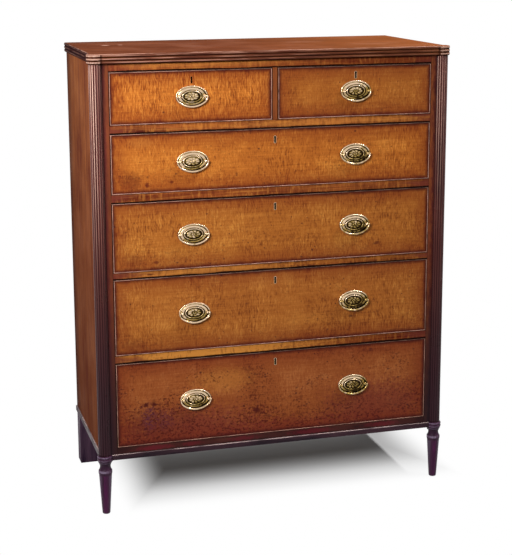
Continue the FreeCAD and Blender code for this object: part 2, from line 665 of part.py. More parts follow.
def drawer_front(drawer):
    """The front board: rabbeted for its cockbead, socketed, grooved and bored for its brasses."""
    bead = COCKBEAD_WIDTH
    board = joined([
        box(drawer.x0, drawer.x1, COCKBEAD_DEPTH, FRONT_THICKNESS, drawer.z0, drawer.z1),
        box(drawer.x0 + bead, drawer.x1 - bead, 0, COCKBEAD_DEPTH, drawer.z0 + bead, drawer.z1 - bead),
    ])
    cuts = []
    for x0, x1 in side_limits(drawer):
        cuts += [tail(x0, x1, middle, GLUE_LINE) for middle in tail_heights(drawer)]
    x0, x1, z0, z1 = bottom_limits(drawer, GLUE_LINE)
    cuts.append(box(x0, x1, FRONT_THICKNESS - GROOVE_DEPTH, FRONT_THICKNESS, z0, z1))
    hole = POST_SHANK_RADIUS + POST_HOLE_CLEARANCE
    for name, x in drawer.pulls:
        for post, side in SIDES:
            start = V(x + side * POST_SPACING / 2, 0, drawer.pull_z)
            cuts.append(Part.makeCylinder(hole, FRONT_THICKNESS, start, V(0, 1, 0)))
    cuts.append(keyhole(drawer, -GLUE_LINE / 2, 0, KEYHOLE_LINER_DEPTH))
    cuts.append(keyhole(drawer, KEYHOLE_WALL, 0, FRONT_THICKNESS))
    half_lock = LOCK_WIDTH / 2 + GLUE_LINE
    cuts.append(box(drawer.keyhole_x - half_lock, drawer.keyhole_x + half_lock, lock_front() - GLUE_LINE,
                    FRONT_THICKNESS, drawer.z1 - LOCK_HEIGHT - GLUE_LINE, drawer.z1))
    return board.cut(group(cuts))


def bead_strip(place, along, corners, normal):
    """One mitred strip of cockbead, with a round nose."""
    half = COCKBEAD_WIDTH / 2
    nose = half - COCKBEAD_PROUD
    edges = [
        line(place(0, nose), place(0, COCKBEAD_DEPTH)),
        line(place(0, COCKBEAD_DEPTH), place(2 * half, COCKBEAD_DEPTH)),
        line(place(2 * half, COCKBEAD_DEPTH), place(2 * half, nose)),
        arc(place(2 * half, nose), place(half, -COCKBEAD_PROUD), place(0, nose)),
    ]
    return wire_prism(edges, along).common(prism(corners, normal))


def cockbead(drawer):
    """Four mitred strips round the edge of a drawer front."""
    width = COCKBEAD_WIDTH
    y = -COCKBEAD_PROUD - OVERSHOOT
    depth = (0, COCKBEAD_PROUD + COCKBEAD_DEPTH + 2 * OVERSHOOT, 0)
    length = drawer.x1 - drawer.x0
    height = drawer.z1 - drawer.z0
    strips = []
    for z, inward in [(drawer.z0, 1), (drawer.z1, -1)]:
        corners = [(drawer.x0, y, z), (drawer.x1, y, z), (drawer.x1 - width, y, z + inward * width),
                   (drawer.x0 + width, y, z + inward * width)]
        strips.append(bead_strip(lambda u, v: (drawer.x0, v, z + inward * u),
                                 (length, 0, 0), corners, depth))
    for x, inward in [(drawer.x0, 1), (drawer.x1, -1)]:
        corners = [(x, y, drawer.z0), (x, y, drawer.z1), (x + inward * width, y, drawer.z1 - width),
                   (x + inward * width, y, drawer.z0 + width)]
        strips.append(bead_strip(lambda u, v: (x + inward * u, v, drawer.z0),
                                 (0, 0, height), corners, depth))
    return group(strips)


def back_board_limits(drawer):
    """Front, bottom and top of a drawer's back board."""
    y0 = DRAWER_LENGTH - DRAWER_BACK_THICKNESS
    z0 = bottom_limits(drawer, GLUE_LINE)[3]
    return y0, z0, drawer.z1 - DRAWER_BACK_DROP


def drawer_side(drawer, x0, x1, inner_face, inward):
    """One side board with its tails, its groove for the bottom and its housing for the back."""
    top = drawer.z1 - DRAWER_SIDE_DROP
    board = joined([box(x0, x1, FRONT_THICKNESS, DRAWER_LENGTH, drawer.z0, top)]
                   + [tail(x0, x1, middle, 0) for middle in tail_heights(drawer)])
    groove_x0, groove_x1, z0, z1 = bottom_limits(drawer, GLUE_LINE)
    grooves = box(groove_x0, groove_x1, 0, DRAWER_LENGTH, z0, z1)
    y0, back_z0, back_z1 = back_board_limits(drawer)
    housing_x = inner_face - inward * GROOVE_DEPTH
    housing = box(min(housing_x, inner_face), max(housing_x, inner_face), y0 - GLUE_LINE, DRAWER_LENGTH,
                  z1, top)
    return board.cut(group([grooves, housing]))


def drawer_box(drawer):
    """The sides, back and bottom of a drawer."""
    (left0, left1), (right0, right1) = side_limits(drawer)
    left = drawer_side(drawer, left0, left1, left1, 1)
    right = drawer_side(drawer, right0, right1, right0, -1)
    y0, z0, z1 = back_board_limits(drawer)
    reach = GROOVE_DEPTH - GLUE_LINE
    back = box(left1 - reach, right0 + reach, y0, DRAWER_LENGTH, z0, z1)
    x0, x1, bottom_z0, bottom_z1 = bottom_limits(drawer, 0)
    bottom = box(x0, x1, FRONT_THICKNESS - GROOVE_DEPTH + GLUE_LINE, DRAWER_LENGTH, bottom_z0, bottom_z1)
    return group([left, right, back, bottom])


# The brasses

def oval(half_width, half_height, y0, y1):
    """An upright oval disc."""
    ellipse = Part.Ellipse(V(0, y0, 0), half_width, half_height)
    edge = ellipse.toShape()
    edge.rotate(V(0, y0, 0), V(1, 0, 0), 90)
    return Part.Face(Part.Wire([edge])).extrude(V(0, y1 - y0, 0))


def rounded_front(shape, front, radius):
    """A shape with the edges of its front face rounded."""
    edges = [edge for edge in shape.Edges if edge.BoundBox.YMax < front + PICKING_TOLERANCE]
    return shape.makeFillet(radius, edges)


def relief(half_width, half_height, width, height):
    """A raised oval ring on a plate with its outer and inner edges rounded."""
    ring = oval(half_width, half_height, -height, -PLATE_THICKNESS / 2)
    if width:
        ring = ring.cut(oval(half_width - width, half_height - width, -height - OVERSHOOT, 0))
    return rounded_front(ring, -height, RELIEF_ROUNDING)


def pull_plate():
    """An oval plate with a raised rim, an inner ring and a boss, at the middle of a pull."""
    holes = []
    for name, side in SIDES:
        holes.append(Part.makeCylinder(POST_SHANK_RADIUS + POST_HOLE_CLEARANCE, RIM_HEIGHT + 2 * OVERSHOOT,
                                       V(side * POST_SPACING / 2, -RIM_HEIGHT - OVERSHOOT, 0), V(0, 1, 0)))
    plate = joined([
        oval(PLATE_HALF_WIDTH, PLATE_HALF_HEIGHT, -PLATE_THICKNESS, 0),
        relief(PLATE_HALF_WIDTH, PLATE_HALF_HEIGHT, RIM_WIDTH, RIM_HEIGHT),
        relief(INNER_RING_HALF_WIDTH, INNER_RING_HALF_HEIGHT, INNER_RING_WIDTH, INNER_RING_HEIGHT),
        relief(BOSS_HALF_WIDTH, BOSS_HALF_HEIGHT, 0, BOSS_HEIGHT),
    ])
    return plate.cut(group(holes))


def pull_post(side):
    """A post: a round head bored across for the bail, and a shank through the drawer front."""
    x = side * POST_SPACING / 2
    head_front = -PLATE_THICKNESS - POST_HEAD_LENGTH
    head = Part.makeCylinder(POST_HEAD_RADIUS, POST_HEAD_LENGTH, V(x, head_front, 0), V(0, 1, 0))
    head = rounded_front(head, head_front, POST_HEAD_ROUNDING)
    shank = Part.makeCylinder(POST_SHANK_RADIUS, FRONT_THICKNESS + POST_END + PLATE_THICKNESS,
                              V(x, -PLATE_THICKNESS, 0), V(0, 1, 0))
    cross_hole = Part.makeCylinder(BAIL_PIN_RADIUS + BAIL_PIN_CLEARANCE,
                                   2 * (POST_HEAD_RADIUS + OVERSHOOT),
                                   V(x - POST_HEAD_RADIUS - OVERSHOOT, -BAIL_PIVOT_OUT, 0), V(1, 0, 0))
    return joined([head, shank]).cut(cross_hole)


def pull_nut(side):
    """The hexagonal nut behind the drawer front."""
    x = side * POST_SPACING / 2
    reach = NUT_HALF_WIDTH / math.cos(math.pi / 6)
    corners = []
    for number in range(6):
        angle = math.pi * number / 3
        corners.append((x + reach * math.cos(angle), FRONT_THICKNESS, reach * math.sin(angle)))
    start = V(x, FRONT_THICKNESS, 0)
    bore = Part.makeCylinder(POST_SHANK_RADIUS + GLUE_LINE, NUT_THICKNESS, start, V(0, 1, 0))
    return prism(corners, (0, NUT_THICKNESS, 0)).cut(bore)


def bail():
    """The hanging handle: a flattened half oval of round bar, with pins turned in at its ends."""
    y = -BAIL_PIVOT_OUT
    corner_x = BAIL_HALF_WIDTH - BAIL_CORNER_RADIUS
    extra_drop = BAIL_DROP - BAIL_CORNER_RADIUS
    centre_z = (corner_x ** 2 - extra_drop ** 2) / (2 * extra_drop)
    foot_radius = centre_z + BAIL_DROP
    angle = math.atan2(centre_z, corner_x)
    meet_x = foot_radius * math.cos(angle)
    meet_z = centre_z - foot_radius * math.sin(angle)
    bend_x = corner_x + BAIL_CORNER_RADIUS * math.cos(angle / 2)
    bend_z = -BAIL_CORNER_RADIUS * math.sin(angle / 2)
    path = Part.Wire([
        arc((-BAIL_HALF_WIDTH, y, 0), (-bend_x, y, bend_z), (-meet_x, y, meet_z)).toShape(),
        arc((-meet_x, y, meet_z), (0, y, -BAIL_DROP), (meet_x, y, meet_z)).toShape(),
        arc((meet_x, y, meet_z), (bend_x, y, bend_z), (BAIL_HALF_WIDTH, y, 0)).toShape(),
    ])
    section = Part.Wire([Part.makeCircle(BAIL_RADIUS, V(-BAIL_HALF_WIDTH, y, 0), V(0, 0, 1))])
    pieces = [path.makePipeShell([section], True, False)]
    pin_length = BAIL_HALF_WIDTH - POST_SPACING / 2 - POST_HEAD_RADIUS + BAIL_PIN_REACH
    for name, side in SIDES:
        pieces.append(Part.makeSphere(BAIL_RADIUS, V(side * BAIL_HALF_WIDTH, y, 0)))
        pieces.append(Part.makeCylinder(BAIL_PIN_RADIUS, pin_length, V(side * BAIL_HALF_WIDTH, y, 0),
                                        V(-side, 0, 0)))
    return joined(pieces)


def at_pull(shape, drawer, x):
    """A copy of a piece of a pull, moved to its place on a drawer."""
    moved = shape.copy()
    moved.translate(V(x, 0, drawer.pull_z))
    return moved


def lock_case(drawer):
    """The lock let into the back of a drawer front, with a slot for its bolt."""
    half = LOCK_WIDTH / 2
    half_bolt = BOLT_WIDTH / 2 + BOLT_CLEARANCE
    slot_bottom = drawer.z1 - BOLT_REST_DROP - BOLT_LENGTH - BOLT_CLEARANCE
    body = box(drawer.keyhole_x - half, drawer.keyhole_x + half, lock_front(), FRONT_THICKNESS,
               drawer.z1 - LOCK_HEIGHT, drawer.z1)
    slot = box(drawer.keyhole_x - half_bolt, drawer.keyhole_x + half_bolt, bolt_front() - BOLT_CLEARANCE,
               bolt_front() + BOLT_THICKNESS + BOLT_CLEARANCE, slot_bottom, drawer.z1)
    return body.cut(slot)


def drawer_brasses(drawer, plate, posts, nuts):
    """Everything of brass on a drawer that doesn't move on it: plates, posts, nuts, liner, lock."""
    pieces = []
    for name, x in drawer.pulls:
        pieces += [at_pull(shape, drawer, x) for shape in [plate] + posts + nuts]
    liner = keyhole(drawer, 0, 0, KEYHOLE_LINER_DEPTH)
    pieces.append(liner.cut(keyhole(drawer, KEYHOLE_WALL, -OVERSHOOT, FRONT_THICKNESS)))
    pieces.append(lock_case(drawer))
    return group(pieces)


def lock_bolt(drawer):
    """The bolt of a drawer's lock, drawn in."""
    half = BOLT_WIDTH / 2
    top = drawer.z1 - BOLT_REST_DROP
    return box(drawer.keyhole_x - half, drawer.keyhole_x + half, bolt_front(),
               bolt_front() + BOLT_THICKNESS, top - BOLT_LENGTH, top)


def case_nodes(drawers):
    """The pieces of the case, by name."""
    nodes = {
        "top_board": top_board(),
        "back_boards": back_boards(),
        "stiles": stiles(),
        "top_rail": rail(0, drawers),
        "bottom_rail": rail(len(ROW_OPENINGS), drawers),
        "centre_divider": centre_divider(),
        "base_moulding": base_moulding(),
        "drawer_runners": drawer_runners(),
        "drawer_stops": drawer_stops(),
        "glue_blocks": glue_blocks(),
    }
    for number in range(1, len(ROW_OPENINGS)):
        nodes[f"drawer_rail_{number}"] = rail(number, drawers)
    for name, side in SIDES:
        nodes[f"{name}_side"] = side_panel(side)
        nodes[f"{name}_front_post"] = front_post(side)
        nodes[f"{name}_rear_foot"] = rear_foot(side)
    return nodes


def drawer_nodes(drawers):
    """The pieces of the drawers, by name."""
    plate = pull_plate()
    posts = [pull_post(side) for name, side in SIDES]
    nuts = [pull_nut(side) for name, side in SIDES]
    handle = bail()
    nodes = {}
    for drawer in drawers:
        prefix = drawer.name + "_drawer_"
        nodes[prefix + "front"] = drawer_front(drawer)
        nodes[prefix + "cockbead"] = cockbead(drawer)
        nodes[prefix + "box"] = drawer_box(drawer)
        nodes[prefix + "brasses"] = drawer_brasses(drawer, plate, posts, nuts)
        nodes[prefix + "bolt"] = lock_bolt(drawer)
        for name, x in drawer.pulls:
            nodes[prefix + name + "bail"] = at_pull(handle, drawer, x)
    return nodes


def main():
    os.makedirs("parts", exist_ok=True)
    drawers = all_drawers()
    nodes = case_nodes(drawers)
    nodes.update(drawer_nodes(drawers))
    for name, shape in nodes.items():
        shape.translate(V(0, ORIGIN_SHIFT, 0))
        shape.exportStep(f"parts/{name}.step")
        print(name, "valid" if shape.isValid() else "NOT VALID", len(shape.Solids), "solids",
              round(shape.Volume / 1000, 1), "cm3")


if __name__ == "__main__":
    main()
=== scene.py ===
import math

import bmesh
import bpy
from mathutils import Euler, Matrix, Vector


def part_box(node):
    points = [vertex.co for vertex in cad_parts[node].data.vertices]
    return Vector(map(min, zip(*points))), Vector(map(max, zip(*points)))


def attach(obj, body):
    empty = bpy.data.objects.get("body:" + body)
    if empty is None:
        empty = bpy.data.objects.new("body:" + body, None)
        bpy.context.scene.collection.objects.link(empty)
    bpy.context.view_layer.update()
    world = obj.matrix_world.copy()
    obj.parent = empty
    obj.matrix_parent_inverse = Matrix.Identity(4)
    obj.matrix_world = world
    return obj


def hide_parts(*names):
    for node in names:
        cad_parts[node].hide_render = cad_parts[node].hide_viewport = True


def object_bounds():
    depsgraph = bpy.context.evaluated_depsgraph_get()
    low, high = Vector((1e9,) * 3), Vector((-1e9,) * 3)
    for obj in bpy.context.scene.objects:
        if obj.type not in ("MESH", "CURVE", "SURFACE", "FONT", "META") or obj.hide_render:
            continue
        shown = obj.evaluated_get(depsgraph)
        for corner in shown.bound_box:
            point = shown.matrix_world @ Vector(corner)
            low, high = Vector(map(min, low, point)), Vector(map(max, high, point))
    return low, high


bl_info = {
    "name": "Tall chest of drawers",
    "version": (1, 0, 0),
    "blender": (4, 5, 0),
    "location": "3D View > Sidebar > Chest",
    "description": "Dresses a tall chest of drawers in polished woods and old brass",
    "category": "Object",
}

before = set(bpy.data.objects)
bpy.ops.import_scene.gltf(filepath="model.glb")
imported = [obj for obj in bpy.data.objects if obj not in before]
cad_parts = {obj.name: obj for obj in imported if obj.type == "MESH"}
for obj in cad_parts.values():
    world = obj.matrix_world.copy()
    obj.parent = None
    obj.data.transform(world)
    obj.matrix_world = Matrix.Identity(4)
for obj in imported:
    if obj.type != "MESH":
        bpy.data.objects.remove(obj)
CAD_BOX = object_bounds()
MM = 0.001

# The drawers and the rails from the top down
SMALL_DRAWERS = ["upper_left", "upper_right"]
LONG_DRAWERS = ["second", "third", "fourth", "bottom"]
DRAWERS = SMALL_DRAWERS + LONG_DRAWERS
RAILS = ["top_rail", "drawer_rail_1", "drawer_rail_2", "drawer_rail_3", "drawer_rail_4"]

# Places that the frame gives
DRAWER_FACE_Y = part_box("second_drawer_front")[0].y
DRAWER_BACK_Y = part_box("second_drawer_front")[1].y
CASE_BOTTOM_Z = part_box("left_side")[0].z
CASE_TOP_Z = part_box("left_side")[1].z
SIDE_FACE_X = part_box("right_side")[1].x


# Sizes and colours that a user would change

def hue(code):
    """A colour written as six hexadecimal digits, as linear red, green and blue."""
    parts = [int(code[i:i + 2], 16) / 255 for i in (0, 2, 4)]
    return tuple(part / 12.92 if part <= 0.04045 else ((part + 0.055) / 1.055) ** 2.4 for part in parts)


def length(name, description, default_mm):
    """A size property, given in millimetres and kept in metres."""
    return bpy.props.FloatProperty(name=name, description=description, default=default_mm * MM,
                                   min=0.0, precision=5, subtype="DISTANCE", unit="LENGTH")


def whole_number(name, description, default, least):
    return bpy.props.IntProperty(name=name, description=description, default=default, min=least)


def watts(name, description, default):
    return bpy.props.FloatProperty(name=name, description=description, default=default, min=0.0, unit="POWER")


def share(name, description, default):
    return bpy.props.FloatProperty(name=name, description=description, default=default,
                                   min=0.0, max=1.0, subtype="FACTOR")


def colour(name, description, code):
    return bpy.props.FloatVectorProperty(name=name, description=description, default=hue(code),
                                         size=3, min=0.0, max=1.0, subtype="COLOR")


class ChestTurning(bpy.types.PropertyGroup):
    """Sizes of the corner posts and of the top's moulded edge."""
    reed_count: whole_number("Reeds", "Reeds round each column", 16, 6)
    reed_facets: whole_number("Reed facets", "Steps across one reed", 12, 4)
    column_radius: length("Column radius", "Column at the crowns of its reeds", 19.0)
    reed_height: length("Reed height", "From the groove between two reeds to their crowns", 1.7)
    reed_end: length("Reed end", "Length over which a reed rounds off at its ends", 3.0)
    top_reed_count: whole_number("Top reeds", "Reeds on the edge of the top", 3, 1)
    top_reed_depth: length("Top reed depth", "Depth of the grooves in the edge of the top", 2.4)
    turret_radius: length("Turret radius", "Round corners of the top over the columns", 24.0)
    front_overhang: length("Front overhang", "Top board in front of the drawer faces", 12.0)
    side_overhang: length("Side overhang", "Top board past the sides", 3.5)


class ChestBrass(bpy.types.PropertyGroup):
    """Sizes of the drawer pulls."""
    plate_half_width: length("Plate half width", "Middle of a plate to its side", 47.5)
    plate_half_height: length("Plate half height", "Middle of a plate to its top", 31.5)
    plate_thickness: length("Plate thickness", "Thickness of the pressed sheet", 1.4)
    rim_width: length("Rim width", "Width of the rope border", 4.0)
    rope_turns: whole_number("Rope turns", "Twists round the rope border", 48, 8)
    rope_relief: length("Rope relief", "Depth between two strands of the border", 0.35)
    ring_half_width: length("Ring half width", "Inner ring of a plate", 29.0)
    ring_half_height: length("Ring half height", "Inner ring of a plate", 17.5)
    ring_width: length("Ring width", "Width of the inner ring", 2.8)
    patera_half_width: length("Flower half width", "Oval flower in the middle of a plate", 21.0)
    patera_half_height: length("Flower half height", "Oval flower in the middle of a plate", 11.6)
    petals: whole_number("Petals", "Petals of the oval flower", 9, 4)
    post_spacing: length("Post spacing", "Between the two posts of a pull", 76.0)
    post_radius: length("Post radius", "Ball head of a post", 4.5)
    pivot_out: length("Pivot out", "Drawer face to the pivot of the bail", 7.0)
    bail_thickness: length("Bail thickness", "Bar at the middle of the bail", 5.9)
    bail_end_thickness: length("Bail end thickness", "Bar near the posts", 4.2)
    bail_half_width: length("Bail half width", "Middle of the bail to its side", 45.6)
    bail_drop: length("Bail drop", "Pivot to the middle of the bar at its lowest", 28.9)
    bail_corner: length("Bail corner", "Radius of the bends", 20.0)


class ChestColours(bpy.types.PropertyGroup):
    """Colours of the woods and metals, each as a light and a deep tone."""
    front_light: colour("Drawer fronts, light", "Crests of the figure", "DC9040")
    front_middle: colour("Drawer fronts, middle", "Body of the veneer", "BC6E2C")
    front_deep: colour("Drawer fronts, deep", "Troughs of the figure", "86441C")
    front_edge: colour("Drawer fronts, edge", "Old polish along the edges", "4C1410")
    speck: colour("Drawer fronts, specks", "Worm holes and ink spots", "36101A")
    plum: colour("Drawer fronts, spill", "Old purple stain on the bottom drawer", "5C2A3A")
    wine: colour("Wine stain", "Red patches low on the front", "72202A")
    front_stain: colour("Drawer fronts, stain", "Wide darkening towards the edges", "762614")
    rail_light: colour("Rails, light", "Rails between the drawers", "AE602E")
    rail_deep: colour("Rails, deep", "Rails between the drawers", "4E1E14")
    stile_light: colour("Stiles, light", "Uprights beside the drawers", "72322A")
    stile_deep: colour("Stiles, deep", "Uprights beside the drawers", "3E1616")
    base_light: colour("Bottom rail, light", "Rail under the drawers", "5E3028")
    base_deep: colour("Bottom rail, deep", "Rail under the drawers", "2C1416")
    moulding_light: colour("Base moulding, light", "Moulding round the foot of the case", "4C323A")
    moulding_deep: colour("Base moulding, deep", "Moulding round the foot of the case", "221820")
    # Painted highlight along the upper edge of the base moulding
    moulding_arris_highlight: colour("Base moulding, arris", "Its rubbed upper edge", "C0A8A4")
    foot_light: colour("Rear feet, light", "Plain feet at the back", "604658")
    foot_deep: colour("Rear feet, deep", "Plain feet at the back", "2E1E30")
    side_light: colour("Sides, light", "Side boards", "A46238")
    side_deep: colour("Sides, deep", "Side boards", "6C3628")
    top_light: colour("Top, light", "Top board", "7E4224")
    top_deep: colour("Top, deep", "Top board", "522A1C")
    column_light: colour("Columns, light", "Reeded columns", "74362E")
    # Also painted shade on the right of the columns and towards the floor
    column_deep: colour("Columns, deep", "Dark streaks", "3C1818")
    # Painted highlights on the crowns of the reeds of the columns and the turrets
    column_highlight: colour("Columns, crowns", "Rubbed crowns of the reeds", "E0B8A4")
    # Painted shade in the grooves between the reeds
    column_groove_shade: colour("Columns, grooves", "Old wax between the reeds", "120608")
    leg_light: colour("Legs, light", "Turned legs", "56324C")
    # Also painted shade in the necks of the legs and towards the foot of the columns
    leg_deep: colour("Legs, deep", "Turned legs", "2C1628")
    leg_heart: colour("Legs, heart", "Redder polish down the front of a leg", "622454")
    # Painted sheen down the sides of a leg and painted highlights on its rings
    leg_sheen: colour("Legs, bloom", "Greyish polish down its sides and on its rings", "A08CA6")
    # Painted highlights on the beads and on the reeds and arris of the top, and the scuffs on the top
    bead_highlight_and_wear: colour("Cockbeads, light", "Rubbed crowns of the beads round the drawers", "CC9C88")
    bead_deep: colour("Cockbeads, deep", "Beads round the drawers", "34100E")
    lining_light: colour("Drawer linings, light", "Sides and bottoms of the drawers", "C79A66")
    lining_deep: colour("Drawer linings, deep", "Sides and bottoms of the drawers", "94683C")
    inner_light: colour("Inner wood, light", "Runners and back boards", "C48C5C")
    inner_deep: colour("Inner wood, deep", "Runners and back boards", "784A2E")
    # The brass tones also carry the painted highlights and shade of the plates and bails
    brass_light: colour("Brass, light", "Rubbed high places", "DEC2A2")
    brass_middle: colour("Brass, middle", "Between the high places and the hollows", "967C42")
    brass_deep: colour("Brass, deep", "Tarnish in the hollows", "281C0C")
    iron: colour("Iron", "Locks and bolts", "4A4642")
    rust: colour("Rust", "Stains on the iron", "5A3422")


class ChestStudio(bpy.types.PropertyGroup):
    """The lamps, the floor and the camera."""
    key_power: watts("Key lamp", "Soft lamp at the front left", 17.6)
    overhead_power: watts("Overhead lamp", "Strip lamp high on the right", 190.0)
    fill_level: share("Fill level", "Brightness of the room in front of the object", 0.16)
    back_level: share("Back level", "Brightness of the room behind the object", 0.7)
    floor_bounce: share("Floor bounce", "How pale the floor is to the light that it throws back", 0.15)
    floor_tone: share("Floor tone", "How pale the floor looks in the shadow of the object", 0.5)
    lens: bpy.props.FloatProperty(name="Lens", description="Focal length of the camera",
                                  default=89.17, min=10.0, unit="CAMERA")


# Materials

def formula(operation, turned_round=False):
    """A method that works out a new number from a number and from what is given with it."""
    def method(self, *others):
        values = (*others, self) if turned_round else (self, *others)
        return self.nodes.maths(operation, *values)
    return method


class Value:
    """A number that nodes work out at each point of a surface, to be used in formulas like any number."""

    def __init__(self, nodes, socket):
        self.nodes = nodes
        self.socket = socket

    __add__ = formula("ADD")
    __sub__ = formula("SUBTRACT")
    __rsub__ = formula("SUBTRACT", True)
    __mul__ = formula("MULTIPLY")
    __truediv__ = formula("DIVIDE")
    __lt__ = formula("LESS_THAN")
    __gt__ = formula("GREATER_THAN")
    __abs__ = formula("ABSOLUTE")
    least = formula("MINIMUM")
    most = formula("MAXIMUM")
    sign = formula("SIGN")
    root = formula("SQRT")
    whole = formula("FLOOR")
    rest = formula("FRACT")

    def ease(self, low, high, to_low=0.0, to_high=1.0):
        """This number taken smoothly from the range low..high to the range to_low..to_high."""
        feeds = dict(enumerate((self, low, high, to_low, to_high)))
        node = self.nodes.add("ShaderNodeMapRange", feeds, interpolation_type="SMOOTHSTEP")
        return Value(self.nodes, node.outputs[0])


class Nodes:
    """The nodes of a material or of the room, and short ways to add to them."""

    def __init__(self, owner):
        owner.use_nodes = True
        self.tree = owner.node_tree
        self.tree.nodes.clear()

    def feed(self, socket, value):
        """Links a socket to another node's output, or gives it a constant."""
        if isinstance(value, Value):
            value = value.socket
        if isinstance(value, bpy.types.NodeSocket):
            self.tree.links.new(value, socket)
        elif socket.type == "RGBA":
            socket.default_value = (*value, 1.0)
        else:
            socket.default_value = value

    def add(self, kind, feeds=None, **settings):
        """A new node with its settings, and with the sockets that feeds names or numbers fed."""
        node = self.tree.nodes.new(kind)
        for name, value in settings.items():
            setattr(node, name, value)
        for socket, value in (feeds or {}).items():
            self.feed(node.inputs[socket], value)
        return node

    def maths(self, operation, *values):
        node = self.add("ShaderNodeMath", dict(enumerate(values)), operation=operation)
        return Value(self, node.outputs[0])

    def axes(self, place):
        """The X, Y and Z of a place."""
        return [Value(self, part) for part in self.add("ShaderNodeSeparateXYZ", {0: place}).outputs]

    def mix(self, factor, first, second, blend="MIX"):
        """The first colour where factor is 0, turning into the second where it is 1."""
        node = self.add("ShaderNodeMix", data_type="RGBA", blend_type=blend, clamp_factor=True)
        for number, value in ((0, factor), (6, first), (7, second)):
            self.feed(node.inputs[number], value)
        return node.outputs[2]


class Recipe(Nodes):
    """A material whose colour is laid on in coats, from textures, colours and numbers."""

    def __init__(self, name, roughness=0.4, specular=0.25, metallic=0.0, base=None):
        self.material = bpy.data.materials.new(name)
        super().__init__(self.material)
        finish = {"Roughness": roughness, "Specular IOR Level": specular, "Metallic": metallic}
        self.shader = self.add("ShaderNodeBsdfPrincipled", finish)
        self.add("ShaderNodeOutputMaterial", {"Surface": self.shader.outputs["BSDF"]})
        self.place = self.add("ShaderNodeTexCoord").outputs["Object"]
        self.x, self.y, self.z = self.axes(self.place)
        self.base = base

    def cover(self, base):
        """Makes this the colour so far."""
        self.base = base
        self.feed(self.shader.inputs["Base Color"], base)

    def lay(self, tone, amount, blend="MIX"):
        """Lays a tone over the colour so far, as strongly as amount says."""
        self.cover(self.mix(amount, self.base, tone, blend))

    def ramp(self, value, stops):
        """Covers with a colour for each value, from (position, colour) pairs."""
        node = self.add("ShaderNodeValToRGB", {0: value})
        node.color_ramp.interpolation = "EASE"
        elements = node.color_ramp.elements
        while len(elements) < len(stops):
            elements.new(0.5)
        for element, (position, shade) in zip(elements, stops):
            element.position = position
            element.color = (*shade, 1.0)
        self.cover(node.outputs[0])

    def sum(self, place, offset):
        return self.add("ShaderNodeVectorMath", {0: place, 1: offset}, operation="ADD").outputs[0]

    def moved(self, x, y):
        """The place on the object, moved along X and Y."""
        return self.sum(self.place, self.add("ShaderNodeCombineXYZ", {0: x, 1: y}).outputs[0])

    def stretched(self, waves, shift, where=None):
        """A place moved by shift and scaled by waves a metre, one number for all axes or one for each."""
        if isinstance(waves, float):
            waves = (waves, waves, waves)
        moved = self.sum(where or self.place, shift)
        return self.add("ShaderNodeVectorMath", {0: moved, 1: waves}, operation="MULTIPLY").outputs[0]

    def noise(self, waves, detail=2.0, roughness=0.5, distortion=0.0, shift=(0.0, 0.0, 0.0), where=None):
        """Cloudy noise between 0 and 1, with its middle near 0.5."""
        feeds = {"Vector": self.stretched(waves, shift, where), "Scale": 1.0, "Detail": detail,
                 "Roughness": roughness, "Distortion": distortion}
        return Value(self, self.add("ShaderNodeTexNoise", feeds, noise_dimensions="3D").outputs["Fac"])

    def spots(self, cells, shift):
        """Distance to the nearest of scattered points, and a random number for each point."""
        feeds = {"Vector": self.stretched(cells, shift), "Scale": 1.0, "Randomness": 1.0}
        node = self.add("ShaderNodeTexVoronoi", feeds, feature="F1")
        return Value(self, node.outputs["Distance"]), self.axes(node.outputs["Color"])[0]

    def bump(self, height, depth, strength=1.0):
        """Raises the surface by height times depth metres."""
        node = self.add("ShaderNodeBump", {"Distance": depth, "Strength": strength, "Height": height})
        self.feed(self.shader.inputs["Normal"], node.outputs[0])

    def polish(self, roughness):
        self.feed(self.shader.inputs["Roughness"], roughness)


def straight(across, up):
    """The straight distance that two distances at right angles make."""
    return (across * across + up * up).root()


def from_pair(recipe, distance):
    """How far to the right of the nearer of two upright lines, which lie at a distance from the middle."""
    return recipe.x - recipe.x.sign() * distance


# Waves of a streaky texture along the grain, for each one across it
ALONG_GRAIN = 0.06


def along(axis, waves):
    """Waves a metre of a texture that is drawn out along one axis."""
    return tuple(waves * (ALONG_GRAIN if name == axis else 1.0) for name in "XYZ")


def plain_wood(name, light, deep, axis, seed=0.0, roughness=0.42, specular=0.1, streaks=0.8, wear=0.15):
    """Straight-grained mahogany: long streaks, cloudy tone, fine pores and a rubbed polish."""
    wood = Recipe(name, roughness, specular)
    shift = (seed, seed * 0.7, seed * 1.3)
    clouds = wood.noise(7.0, 3.0, 0.55, 0.0, shift)
    broad = wood.noise(along(axis, 42.0), 3.0, 0.6, 0.4, shift)
    fine = wood.noise(along(axis, 420.0), 3.0, 0.65, 0.0, shift)
    pores = wood.noise(along(axis, 1500.0), 1.0, 0.5, 0.0, shift)
    tone = (broad - 0.5) * (streaks * 1.6) + 0.5
    tone += (fine - 0.5) * (streaks * 0.9)
    tone += (clouds - 0.5) * 0.9
    wood.ramp(tone, [(0.15, deep), (0.5, (light + deep) / 2), (0.85, light)])
    pore_depth = pores.ease(0.62, 0.74)
    wood.lay(deep * 0.35, pore_depth * 0.45)
    wood.polish(clouds.ease(0.35, 0.7, roughness + wear, roughness - 0.06))
    wood.bump(fine - pore_depth, 0.00012, 0.5)
    return wood


# Near black: painted shade in gaps, grooves, necks and the keyhole, and the dirt in the joints of the back
# boards
SHADE_AND_GRIME = hue("160806")


